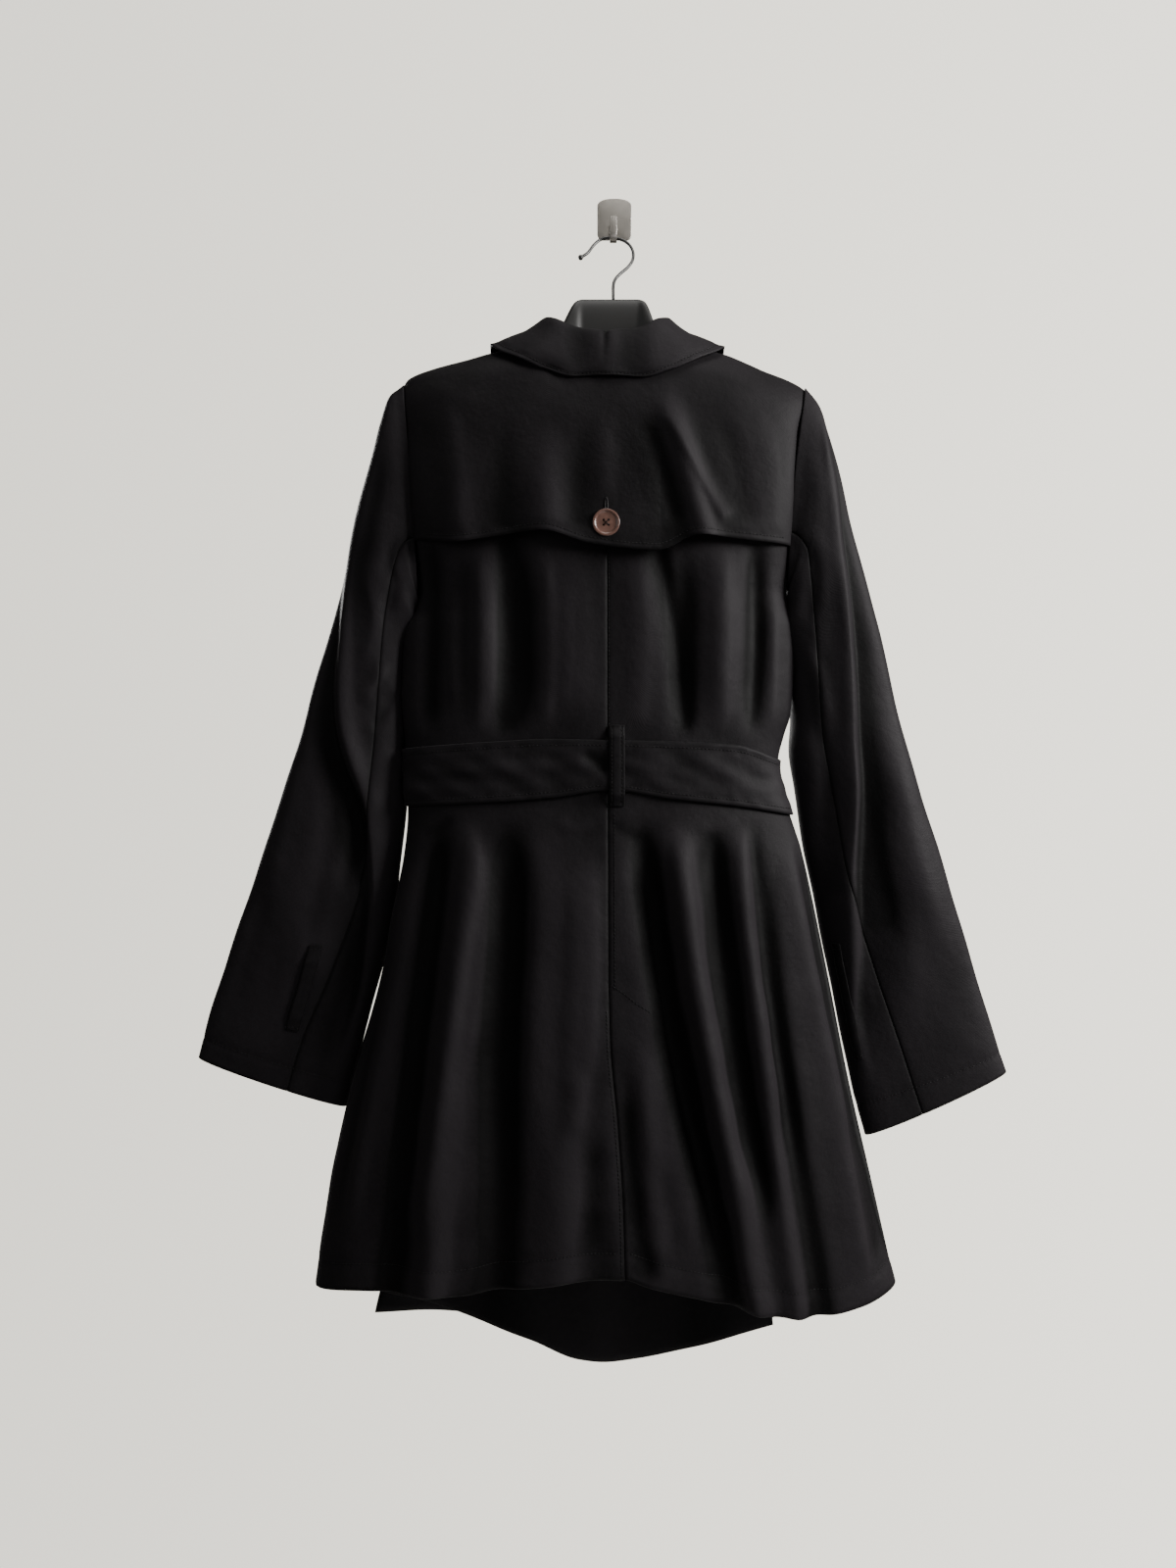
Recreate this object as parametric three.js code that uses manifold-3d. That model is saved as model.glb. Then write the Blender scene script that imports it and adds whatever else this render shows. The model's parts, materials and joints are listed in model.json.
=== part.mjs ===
// A trench coat seen from the back, on a plastic hanger that hangs from a small wall hook.
// Millimetres, +Z up. The origin is the middle of the wall plate's back face. The wall is the
// plane y = 0 and the coat's back faces -Y. Left and right are the wearer's, so left is -X.
// Heights are given as a drop: the distance below the origin.

import * as THREE from 'three';
import { mergeVertices } from 'three/addons/utils/BufferGeometryUtils.js';
import Module from 'manifold-3d';

// Driving dimensions
const CLOTH = 1.8; // wall of the shell cloth
const LIGHT_CLOTH = 1.6; // wall of the flap, lapels, loops and vent extension
const SEAM_GAP = 0.3; // between two pieces that are sewn together
const LAYER_GAP = 0.6; // between two layers that lie on each other
const SIDE_DEEP = 50; // distance from the wall to the shoulder ridge and the side seams
const SHOULDER_ROUND = 34; // how far below the ridge the shoulder cloth has rolled over
const SQUARENESS = 2.6; // how boxy the body's cross section is
const NECK_MIDDLE = -8; // x of the centre back
const BELT_TOP = 525; // drop of the rows above and below the belt
const BELT_FOOT = 592;
const BELT_THICK = 2.4;
const FLAP_GAP = 0.8; // between the back and the storm flap
const FLAP_REST = FLAP_GAP + LIGHT_CLOTH; // storm flap's face above the back
const FLAP_FLARE = 5; // how far the free hem of the storm flap stands off
const ARM_OPEN = 22; // half the armhole's opening in depth
const BUTTON_RADIUS = 12.5;
const BUTTON_THICK = 3.4;
const WIRE_RADIUS = 1.5;
const HOOK_WIDTH = 7; // width of the hook's tongue

// The body by height: left and right side lines, centre back and centre front from the wall
const BODY = [
  { drop: 140, left: -202.5, right: 182.6, back: 71, front: 31 },
  { drop: 190, left: -202.5, right: 182.6, back: 86, front: 27 },
  { drop: 238, left: -195, right: 169.5, back: 92, front: 24 },
  { drop: 285, left: -192.1, right: 165.2, back: 93, front: 23 },
  { drop: 379, left: -188.2, right: 163.6, back: 92, front: 22 },
  { drop: 398, left: -190.4, right: 165.8, back: 91.7, front: 22.2 },
  { drop: 416, left: -200.5, right: 170.4, back: 91.3, front: 22.4 },
  { drop: 440, left: -204, right: 171.2, back: 90.4, front: 23 },
  { drop: 473, left: -205.2, right: 170, back: 89, front: 24 },
  { drop: 500, left: -204.2, right: 168.2, back: 88.4, front: 25 },
  { drop: 520, left: -203, right: 162, back: 88, front: 26 },
  { drop: 552, left: -200.5, right: 155, back: 88, front: 27 },
  { drop: 595, left: -199.5, right: 167, back: 91, front: 24 },
  { drop: 615, left: -200.5, right: 173.6, back: 92.4, front: 22.4 },
  { drop: 637, left: -203, right: 180, back: 94.2, front: 20 },
  { drop: 661, left: -207.5, right: 185.5, back: 96, front: 18 },
  { drop: 756, left: -226.3, right: 205, back: 100, front: 14 },
  { drop: 850, left: -252.4, right: 223.5, back: 102, front: 11 },
  { drop: 944, left: -273.1, right: 245, back: 104, front: 10 },
  { drop: 1045, left: -288.2, right: 268, back: 106, front: 10 },
];

// The shoulder ridge: share of the half width from the middle, drop of the ridge
const RIDGE = [
  { share: -1.0, drop: 188 },
  { share: -0.97, drop: 180.5 },
  { share: -0.87, drop: 173 },
  { share: -0.67, drop: 163 },
  { share: -0.56, drop: 157 },
  { share: -0.3, drop: 147 },
  { share: 0.0, drop: 141 },
  { share: 0.3, drop: 147 },
  { share: 0.58, drop: 158 },
  { share: 0.71, drop: 168 },
  { share: 0.78, drop: 174 },
  { share: 0.9, drop: 182.4 },
  { share: 0.97, drop: 189 },
  { share: 1.0, drop: 194 },
];

// The back neckline: share of the half width, how far below the ridge the cloth is cut
const BACK_NECK = [
  { share: 0.0, below: 35 },
  { share: 0.1, below: 33 },
  { share: 0.2, below: 22 },
  { share: 0.27, below: 8 },
  { share: 0.3, below: 0 },
];

// Hems: x along the bottom edge, drop of the edge
const BACK_HEM = [
  { x: -288, drop: 1046 },
  { x: -226, drop: 1038 },
  { x: -161, drop: 1038 },
  { x: -89, drop: 1029 },
  { x: -22, drop: 1020 },
  { x: 7, drop: 1020.5 },
  { x: 27, drop: 1027 },
  { x: 81, drop: 1040 },
  { x: 134, drop: 1054 },
  { x: 190, drop: 1060.5 },
  { x: 230, drop: 1055 },
  { x: 268, drop: 1043 },
];
const LEFT_FRONT_HEM = [
  { x: -288, drop: 1046 },
  { x: -236, drop: 1064 },
  { x: -153, drop: 1091 },
  { x: -85, drop: 1118 },
  { x: -36, drop: 1140 },
  { x: -10, drop: 1143.5 },
  { x: 22, drop: 1139 },
  { x: 100, drop: 1119 },
  { x: 157, drop: 1103.6 },
];
const RIGHT_FRONT_HEM = [
  { x: -236, drop: 1088 },
  { x: -153, drop: 1092 },
  { x: -85, drop: 1115 },
  { x: -36, drop: 1136 },
  { x: -10, drop: 1140 },
  { x: 22, drop: 1136 },
  { x: 100, drop: 1116 },
  { x: 157, drop: 1098 },
  { x: 210, drop: 1072 },
  { x: 268, drop: 1043 },
];

// Free edges of the fronts and the centre back seam: drop, x
const LEFT_FRONT_EDGE = [
  { drop: 146, x: -67 },
  { drop: 200, x: -25 },
  { drop: 260, x: 28 },
  { drop: 332, x: 92 },
  { drop: 420, x: 98 },
  { drop: 520, x: 92 },
  { drop: 600, x: 95 },
  { drop: 800, x: 120 },
  { drop: 1000, x: 145 },
  { drop: 1104, x: 157 },
];
const RIGHT_FRONT_EDGE = [
  { drop: 146, x: 47 },
  { drop: 200, x: 8 },
  { drop: 260, x: -45 },
  { drop: 332, x: -109 },
  { drop: 420, x: -115 },
  { drop: 520, x: -118 },
  { drop: 600, x: -125 },
  { drop: 800, x: -165 },
  { drop: 1000, x: -215 },
  { drop: 1090, x: -236 },
];
const BACK_SEAM = [
  { drop: 170, x: -9 },
  { drop: 480, x: -8.4 },
  { drop: 750, x: -7.5 },
  { drop: 802, x: -6.6 },
  { drop: 883, x: 0.6 },
  { drop: 955, x: 5.2 },
  { drop: 1025, x: 7 },
];
const VENT = { top: 742, width: 42, cover: 9, gap: 1.3 }; // drops and widths of the back vent

// Folds: where a fold starts and ends, its x at both and halfway, its half width and its height.
// A height above 0 is a ridge and below 0 a valley.
const BACK_FOLDS = [
  { top: 590, foot: 1300, x0: -140, x1: -152, x2: -176, wide: 17, tall: 8 },
  { top: 590, foot: 1300, x0: -97, x1: -104, x2: -112, wide: 17, tall: -8 },
  { top: 590, foot: 1300, x0: -164, x1: -184, x2: -212, wide: 13, tall: -5 },
  { top: 600, foot: 1300, x0: -46, x1: -50, x2: -56, wide: 26, tall: 6 },
  { top: 590, foot: 1300, x0: 22, x1: 52, x2: 108, wide: 13, tall: -9 },
  { top: 590, foot: 1300, x0: 53, x1: 86, x2: 128, wide: 15, tall: 8 },
  { top: 590, foot: 980, x0: 88, x1: 104, x2: 142, wide: 12, tall: -7 },
  { top: 600, foot: 1300, x0: 114, x1: 136, x2: 168, wide: 13, tall: 7 },
  { top: 620, foot: 1300, x0: 128, x1: 148, x2: 186, wide: 12, tall: -7 },
  { top: 330, foot: 525, x0: -120, x1: -122, x2: -118, wide: 14, tall: 5 },
  { top: 330, foot: 525, x0: -92, x1: -92, x2: -88, wide: 14, tall: -5 },
  { top: 330, foot: 525, x0: -46, x1: -44, x2: -42, wide: 22, tall: 4 },
  { top: 330, foot: 525, x0: 60, x1: 63, x2: 62, wide: 11, tall: -5 },
  { top: 330, foot: 525, x0: 96, x1: 98, x2: 94, wide: 16, tall: 5 },
  { top: 330, foot: 525, x0: 132, x1: 130, x2: 122, wide: 11, tall: -5 },
];
const FRONT_FOLDS = [
  { top: 590, foot: 1300, x0: -130, x1: -150, x2: -185, wide: 30, tall: 3.5 },
  { top: 590, foot: 1300, x0: -85, x1: -92, x2: -105, wide: 28, tall: -4 },
  { top: 600, foot: 1300, x0: -20, x1: -12, x2: -6, wide: 32, tall: 3 },
  { top: 590, foot: 1300, x0: 50, x1: 68, x2: 92, wide: 28, tall: -4 },
  { top: 590, foot: 1300, x0: 100, x1: 130, x2: 170, wide: 30, tall: 3.5 },
];
const FLAP_FOLDS = [
  { top: 175, foot: 420, x0: 40, x1: 66, x2: 104, wide: 13, tall: 7 },
  { top: 230, foot: 420, x0: -70, x1: -64, x2: -58, wide: 22, tall: 4 },
  { top: 230, foot: 420, x0: -140, x1: -142, x2: -144, wide: 14, tall: 3 },
];

// The storm flap's hem: x, drop
const FLAP_HEM = [
  { x: -186, drop: 337 },
  { x: -144, drop: 342 },
  { x: -70, drop: 334 },
  { x: -26, drop: 346 },
  { x: 37, drop: 352 },
  { x: 73, drop: 338 },
  { x: 111, drop: 340 },
  { x: 162, drop: 342 },
];

// The belt's edges on the back: x, drop of its upper and lower edge
const BELT = [
  { x: -203, top: 534.5, foot: 588 },
  { x: -117, top: 529, foot: 584 },
  { x: -63, top: 526.5, foot: 580 },
  { x: -7, top: 527.5, foot: 573 },
  { x: 46, top: 528.5, foot: 581 },
  { x: 106, top: 531, foot: 588 },
  { x: 156, top: 545, foot: 597 },
];
const KNOT = { x: -10, half: 21, top: 523, foot: 592, deep: 9 };
const TAILS = [
  { name: 'belt_end_left', x0: -21, x1: -62, top: 593, foot: 838, half: 20 },
  { name: 'belt_end_right', x0: 1, x1: 44, top: 593, foot: 860, half: 20 },
];

// Sleeves, from the armhole to the cuff: the outer and the inner edge line, the distance from
// the wall, half the thickness, the back seam's turn from the outer edge in degrees, and how far
// the armhole end bows in towards the body
const SLEEVES = {
  left: [
    { ox: -205.5, od: 187, ix: -190.8, id: 388, deep: 50, half: 24, seam: 118, bow: 3 },
    { ox: -216, od: 195, ix: -194, id: 392, deep: 50, half: 26, seam: 118, bow: 1.5 },
    { ox: -225, od: 220, ix: -199, id: 398, deep: 49, half: 28, seam: 118, bow: 0 },
    { ox: -239, od: 274, ix: -203, id: 410, deep: 47, half: 29, seam: 118, bow: 0 },
    { ox: -256, od: 340, ix: -205.7, id: 433, deep: 43, half: 28, seam: 118, bow: 0 },
    { ox: -273, od: 412, ix: -207, id: 473, deep: 40, half: 27, seam: 118, bow: 0 },
    { ox: -297, od: 491, ix: -205, id: 525, deep: 38, half: 26, seam: 118, bow: 0 },
    { ox: -324.5, od: 582, ix: -206.3, id: 586, deep: 36, half: 24.5, seam: 119, bow: 0 },
    { ox: -352, od: 664, ix: -210.7, id: 662, deep: 34, half: 22, seam: 121, bow: 0 },
    { ox: -378.5, od: 739, ix: -226.8, id: 744, deep: 29, half: 19, seam: 114, bow: 0 },
    { ox: -397, od: 793, ix: -251.2, id: 832, deep: 26, half: 17, seam: 106, bow: 0 },
    { ox: -408.5, od: 835, ix: -263.6, id: 883, deep: 25, half: 16, seam: 104, bow: 0 },
  ],
  right: [
    { ox: 184.6, od: 190, ix: 166.2, id: 380, deep: 50, half: 24, seam: 118, bow: 5.9 },
    { ox: 195, od: 205, ix: 170.4, id: 385, deep: 50, half: 26, seam: 118, bow: 3 },
    { ox: 203, od: 228, ix: 173, id: 394, deep: 49, half: 28, seam: 118, bow: 0 },
    { ox: 217, od: 274, ix: 173.2, id: 417, deep: 46, half: 29, seam: 118, bow: 0 },
    { ox: 232.5, od: 339, ix: 172.8, id: 450, deep: 43, half: 28, seam: 118, bow: 0 },
    { ox: 252.5, od: 412, ix: 171, id: 487, deep: 40, half: 27, seam: 118, bow: 0 },
    { ox: 272.5, od: 491, ix: 169.2, id: 530, deep: 38, half: 26, seam: 118, bow: 0 },
    { ox: 298.5, od: 582, ix: 174.5, id: 572, deep: 36, half: 24.5, seam: 119, bow: 0 },
    { ox: 325, od: 664, ix: 184, id: 632, deep: 34, half: 22, seam: 121, bow: 0 },
    { ox: 348, od: 736, ix: 207.6, id: 744, deep: 29, half: 19, seam: 114, bow: 0 },
    { ox: 370, od: 808, ix: 228.2, id: 846, deep: 26, half: 17, seam: 106, bow: 0 },
    { ox: 384, od: 849, ix: 245.4, id: 911, deep: 25, half: 16, seam: 104, bow: 0 },
  ],
};
const FRONT_SEAM_TURN = 116; // the front sleeve seam, in degrees from the outer edge

// The long fold on the back of each sleeve: share of the sleeve's length, share of its width
// from the inner edge
const SLEEVE_FOLDS = {
  left: [
    { along: 0.36, across: 1.0 },
    { along: 0.45, across: 0.82 },
    { along: 0.55, across: 0.6 },
    { along: 0.64, across: 0.27 },
    { along: 0.74, across: 0.13 },
    { along: 0.86, across: 0.05 },
  ],
  right: [
    { along: 0.1, across: 1.0 },
    { along: 0.28, across: 0.79 },
    { along: 0.42, across: 0.66 },
    { along: 0.54, across: 0.54 },
    { along: 0.64, across: 0.43 },
    { along: 0.75, across: 0.26 },
    { along: 0.86, across: 0.08 },
  ],
};
const SLEEVE_FOLD_TALL = 4;
const SLEEVE_LOOPS = [
  { name: 'sleeve_loop_left', side: 'left', turn: 97, from: 0.795, to: 0.895, half: 4.6 },
  { name: 'sleeve_loop_right', side: 'right', turn: 148, from: 0.8, to: 0.9, half: 5 },
];

// The collar from the centre back to a front end. The neck seam and the fall's edge are given by
// their distance from the middle and their place below the ridge, below 0 on the front. The
// roll lies out from, above and off the neck seam. The fall's edge rests that far off the body,
// and its belly stands further off.
const COLLAR = [
  { neck: 0, sewn: 34, out: 1, up: 27.5, edge: 0, hang: 49, rest: 6.6, belly: 2, off: 0 },
  { neck: 19, sewn: 32, out: 1, up: 29, edge: 30, hang: 48, rest: 6.6, belly: 2, off: 0 },
  { neck: 38, sewn: 21, out: 3, up: 28, edge: 58, hang: 37, rest: 6.8, belly: 4, off: 0 },
  { neck: 51, sewn: 7, out: 4, up: 25, edge: 86, hang: 21, rest: 8.8, belly: 5, off: 0 },
  { neck: 57, sewn: -2, out: 4, up: 21, edge: 109, hang: 2, rest: 10.4, belly: 4, off: 0 },
  { neck: 52, sewn: -12, out: 4, up: 17, edge: 114, hang: -16, rest: 8.8, belly: 3, off: 2 },
  { neck: 44, sewn: -28, out: 3, up: 12, edge: 110, hang: -42, rest: 7, belly: 2, off: 4 },
  { neck: 34, sewn: -46, out: 2, up: 6, edge: 97, hang: -72, rest: 6, belly: 1, off: 5 },
];

// Lapels: x out from the middle and drop of the roll line, and of the free edge
const LAPEL = [
  { rollX: 39, rollDrop: 184, edgeX: 108, edgeDrop: 226 },
  { rollX: 5, rollDrop: 216, edgeX: 84, edgeDrop: 262 },
  { rollX: -30, rollDrop: 255, edgeX: 38, edgeDrop: 298 },
  { rollX: -68, rollDrop: 298, edgeX: -26, edgeDrop: 324 },
  { rollX: -94, rollDrop: 329, edgeX: -84, edgeDrop: 338 },
];

// Hanger, from the left to the right end: drop of the top and the bottom edge, distance from
// the wall and half the thickness
const HANGER = [
  { x: -186, top: 192, foot: 212, deep: 54, half: 10 },
  { x: -172, top: 183, foot: 209, deep: 55, half: 11 },
  { x: -140, top: 173, foot: 200, deep: 55, half: 11 },
  { x: -100, top: 163, foot: 186, deep: 54, half: 10.5 },
  { x: -75, top: 155.5, foot: 174, deep: 52, half: 9 },
  { x: -65, top: 153, foot: 170, deep: 51, half: 8.5 },
  { x: -56, top: 140, foot: 166, deep: 49, half: 8 },
  { x: -49, top: 121, foot: 162, deep: 47, half: 8 },
  { x: -38, top: 102, foot: 157, deep: 45, half: 7.5 },
  { x: -31, top: 99, foot: 154, deep: 42.4, half: 7.5 },
  { x: 21, top: 99, foot: 154, deep: 42.4, half: 7.5 },
  { x: 28, top: 102, foot: 157, deep: 45, half: 7.5 },
  { x: 37, top: 123, foot: 162, deep: 47, half: 8 },
  { x: 42, top: 147.5, foot: 167, deep: 50, half: 7.5 },
  { x: 47, top: 155, foot: 171, deep: 51.5, half: 7.8 },
  { x: 60, top: 157.5, foot: 174, deep: 52, half: 9 },
  { x: 92, top: 167, foot: 188, deep: 54, half: 10.5 },
  { x: 128, top: 181, foot: 207, deep: 55, half: 11 },
  { x: 156, top: 194, foot: 218, deep: 55, half: 11 },
  { x: 166, top: 201, foot: 219, deep: 54, half: 10 },
];
const WIRE = [
  { x: -33.7, drop: 47.6 },
  { x: -26.6, drop: 41.8 },
  { x: -20.8, drop: 32.4 },
  { x: -13.7, drop: 25.2 },
  { x: -4, drop: 22.9 },
  { x: 7.7, drop: 25.8 },
  { x: 14.9, drop: 32.6 },
  { x: 18.2, drop: 41.8 },
  { x: 17.4, drop: 51.2 },
  { x: 12.6, drop: 59.7 },
  { x: 5.3, drop: 67.4 },
  { x: 0.2, drop: 74.4 },
  { x: -1.8, drop: 82.5 },
  { x: -2.0, drop: 98.75 },
];
const WIRE_LEAN = 0.45; // how much the hanger leans away from the wall for each mm of drop
const WIRE_DEEP = 8; // distance of the wire from the wall where it rests in the hook

// Front buttons in two columns: x of the columns, drops of the rows
const BUTTON_COLUMNS = [-76, 56];
const BUTTON_ROWS = [
  { drop: 390, gap: 0.9 },
  { drop: 478, gap: 0.6 },
  { drop: 668, gap: 1.4 },
];

// Finishes
const finish = (color, roughness, metalness) =>
  new THREE.MeshStandardMaterial({ color, roughness, metalness });
const shellCloth = () => finish(0x1a1a1b, 0.72, 0);
const buttonPlastic = () => finish(0x3a2a26, 0.35, 0);
const hangerPlastic = () => finish(0x2f2e2c, 0.6, 0);
const wireSteel = () => finish(0x141414, 0.4, 0.6);
const plateSteel = () => finish(0xa59e94, 0.35, 0.9);

// Smooth curve through one column of a table, read by another column; it never overshoots
function curve(rows, by, of) {
  const at = rows.map((row) => row[by]);
  const to = rows.map((row) => row[of]);
  const rate = at.slice(1).map((value, i) => (to[i + 1] - to[i]) / (value - at[i]));
  const slope = to.map((_, i) => {
    const before = rate[Math.max(i - 1, 0)];
    const after = rate[Math.min(i, rate.length - 1)];
    return before * after <= 0 ? 0 : (2 * before * after) / (before + after);
  });
  return (value) => {
    const x = Math.min(Math.max(value, at[0]), at[at.length - 1]);
    let i = 0;
    while (i < rate.length - 1 && x > at[i + 1]) i += 1;
    const width = at[i + 1] - at[i];
    const t = (x - at[i]) / width;
    const s = 1 - t;
    return (
      to[i] * s * s * (1 + 2 * t) +
      slope[i] * width * t * s * s +
      to[i + 1] * t * t * (3 - 2 * t) -
      slope[i + 1] * width * t * t * s
    );
  };
}

const lerp = THREE.MathUtils.lerp;
const ease = (t) => THREE.MathUtils.smoothstep(t, 0, 1);

// Height of all the folds of a table at one place
function foldHeight(folds, x, drop) {
  let sum = 0;
  for (const fold of folds) {
    const t = Math.min(Math.max((drop - fold.top) / (Math.min(fold.foot, 1050) - fold.top), 0), 1);
    const line = lerp(lerp(fold.x0, fold.x1, t), lerp(fold.x1, fold.x2, t), t);
    const fade = ease((drop - fold.top) / 90) * ease((fold.foot - drop) / 60);
    sum += fold.tall * fade * Math.exp(-(((x - line) / fold.wide) ** 2));
  }
  return sum;
}

// The body's outer skin. w runs from the left side seam (-1) to the right one (1), and below is
// the distance under the shoulder ridge, above 0 on the back and below 0 on the front.
const leftLine = curve(BODY, 'drop', 'left');
const rightLine = curve(BODY, 'drop', 'right');
const backDeep = curve(BODY, 'drop', 'back');
const frontDeep = curve(BODY, 'drop', 'front');
const ridge = curve(RIDGE, 'share', 'drop');
const middleAt = (drop) => (leftLine(drop) + rightLine(drop)) / 2;
const halfAt = (drop) => (rightLine(drop) - leftLine(drop)) / 2;
const shareOf = (w) => Math.sin((w * Math.PI) / 2);
const turnOf = (share) => (Math.asin(Math.min(Math.max(share, -1), 1)) * 2) / Math.PI;
const turnAt = (x, drop) => turnOf((x - middleAt(drop)) / halfAt(drop));
const armholeOpen = (drop) => ARM_OPEN * Math.sin(Math.PI * Math.min(Math.max((drop - 188) / 198, 0), 1));

function skin(w, below) {
  const share = shareOf(w);
  const drop = ridge(share) + Math.abs(below);
  const x = middleAt(drop) + halfAt(drop) * share;
  const bulge = Math.sqrt(Math.max(1 - Math.abs(share) ** SQUARENESS, 0));
  const rolled = Math.sqrt(1 - (1 - Math.min(Math.abs(below) / SHOULDER_ROUND, 1)) ** 2);
  const isBack = below >= 0;
  const middle = isBack ? backDeep(drop) - SIDE_DEEP : SIDE_DEEP - frontDeep(drop);
  const open = Math.min(armholeOpen(drop), middle);
  const fold = foldHeight(isBack ? BACK_FOLDS : FRONT_FOLDS, x, drop) * Math.sqrt(bulge);
  const reach = SEAM_GAP + (open + (middle - open) * bulge + fold) * rolled;
  return new THREE.Vector3(x, -SIDE_DEEP + (isBack ? -reach : reach), -drop);
}

// A point of a surface moved out along its normal. The steps are those of its two parameters.
function moved(surface, u, v, lift, stepU, stepV) {
  const alongU = surface(u + stepU, v).sub(surface(u - stepU, v));
  const alongV = surface(u, v + stepV).sub(surface(u, v - stepV));
  return surface(u, v).addScaledVector(alongV.cross(alongU).normalize(), lift);
}
const onSkin = (w, below, lift) => moved(skin, w, below, lift, 0.004, 0.5);
const backAt = (x, drop, lift) => {
  const w = turnAt(x, drop);
  return onSkin(w, drop - ridge(shareOf(w)), lift);
};

// A closed body between two faces, each given as a function of a and b from 0 to 1
function wall(face, lining, columns, rows) {
  const positions = [];
  const index = [];
  const width = columns + 1;
  for (const side of [face, lining]) {
    for (let j = 0; j <= rows; j += 1) {
      for (let i = 0; i <= columns; i += 1) positions.push(...side(i / columns, j / rows).toArray());
    }
  }
  const under = width * (rows + 1);
  const quad = (a, b, c, d) => index.push(a, b, c, a, c, d);
  for (let j = 0; j < rows; j += 1) {
    for (let i = 0; i < columns; i += 1) {
      const a = j * width + i;
      quad(a, a + 1, a + width + 1, a + width);
      quad(under + a, under + a + width, under + a + width + 1, under + a + 1);
    }
  }
  for (let i = 0; i < columns; i += 1) {
    const last = rows * width + i;
    quad(i, under + i, under + i + 1, i + 1);
    quad(last, last + 1, under + last + 1, under + last);
  }
  for (let j = 0; j < rows; j += 1) {
    const first = j * width;
    const last = first + columns;
    quad(first, first + width, under + first + width, under + first);
    quad(last, under + last, under + last + width, last + width);
  }
  return solid(positions, index);
}

// A closed body along rings of points, with flat ends
function loft(rings) {
  const positions = rings.flat().flatMap((point) => point.toArray());
  const sides = rings[0].length;
  const index = [];
  for (let j = 0; j < rings.length - 1; j += 1) {
    for (let i = 0; i < sides; i += 1) {
      const a = j * sides + i;
      const b = j * sides + ((i + 1) % sides);
      index.push(a, b, b + sides, a, b + sides, a + sides);
    }
  }
  const end = (rings.length - 1) * sides;
  for (let i = 1; i < sides - 1; i += 1) {
    index.push(0, i + 1, i, end, end + i, end + i + 1);
  }
  return solid(positions, index);
}

// Geometry from points and triangles, turned so that its faces point out
function solid(positions, index) {
  const corner = (i) => new THREE.Vector3(...positions.slice(3 * i, 3 * i + 3));
  let volume = 0;
  for (let i = 0; i < index.length; i += 3) {
    const [a, b, c] = [corner(index[i]), corner(index[i + 1]), corner(index[i + 2])];
    volume += a.dot(b.cross(c));
  }
  if (volume < 0) index.reverse();
  const geometry = new THREE.BufferGeometry();
  geometry.setAttribute('position', new THREE.Float32BufferAttribute(positions, 3));
  geometry.setIndex(index);
  geometry.computeVertexNormals();
  return geometry;
}

// Joins and cuts
const wasm = await Module();
wasm.setup();
function toManifold(geometry) {
  const bare = geometry.clone();
  bare.deleteAttribute('normal');
  bare.deleteAttribute('uv');
  const merged = mergeVertices(bare, 1e-4);
  const mesh = new wasm.Mesh({
    numProp: 3,
    vertProperties: new Float32Array(merged.attributes.position.array),
    triVerts: new Uint32Array(merged.index.array),
  });
  return new wasm.Manifold(mesh);
}
function fromManifold(shape) {
  const mesh = shape.getMesh();
  const geometry = new THREE.BufferGeometry();
  geometry.setAttribute('position', new THREE.Float32BufferAttribute(mesh.vertProperties, 3));
  geometry.setIndex(Array.from(mesh.triVerts));
  geometry.computeVertexNormals();
  return geometry;
}

const coat = new THREE.Group();
function add(name, geometry, material) {
  const mesh = new THREE.Mesh(geometry, material);
  mesh.name = name;
  coat.add(mesh);
  return mesh;
}

// Rows of a body panel: close together under the shoulder and at the belt
const BACK_ROWS = 22;
const UPPER_SHARE = 0.42;
const BELT_SHARE = 0.16;
function rowDrop(b, top, hem) {
  if (b <= UPPER_SHARE) return lerp(top, BELT_TOP, (b / UPPER_SHARE) ** 1.8);
  if (b <= UPPER_SHARE + BELT_SHARE) return lerp(BELT_TOP, BELT_FOOT, (b - UPPER_SHARE) / BELT_SHARE);
  return lerp(BELT_FOOT, hem, (b - UPPER_SHARE - BELT_SHARE) / (1 - UPPER_SHARE - BELT_SHARE));
}

// Where a panel's column meets the hem, between a side seam and an x at the hem
const HEM_LEVEL = 1045;
const hemColumn = (direction, x, a) => {
  const share = shareOf(lerp(direction, turnAt(x, HEM_LEVEL), a));
  return middleAt(HEM_LEVEL) + halfAt(HEM_LEVEL) * share;
};

// Back panels, from a side seam to the centre back seam
const backHem = curve(BACK_HEM, 'x', 'drop');
const backSeam = curve(BACK_SEAM, 'drop', 'x');
const backNeck = curve(BACK_NECK, 'share', 'below');
function backPanel(side) {
  const direction = side === 'left' ? -1 : 1;
  const gap = direction * SEAM_GAP * 0.5;
  const place = (a, b, lift) => {
    const topShare = lerp(direction, 0, 1 - Math.cos((a * Math.PI) / 2));
    const top = ridge(topShare) + backNeck(Math.abs(topShare));
    const drop = rowDrop(b, top, backHem(hemColumn(direction, backSeam(1020), a)));
    const w = lerp(direction, turnAt(backSeam(drop) + gap, drop), a);
    return onSkin(w, Math.max(drop - ridge(shareOf(w)), 0), lift);
  };
  return wall((a, b) => place(a, b, 0), (a, b) => place(a, b, -CLOTH), 15, BACK_ROWS);
}
add('back_left', backPanel('left'), shellCloth());
add('back_right', backPanel('right'), shellCloth());

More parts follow.
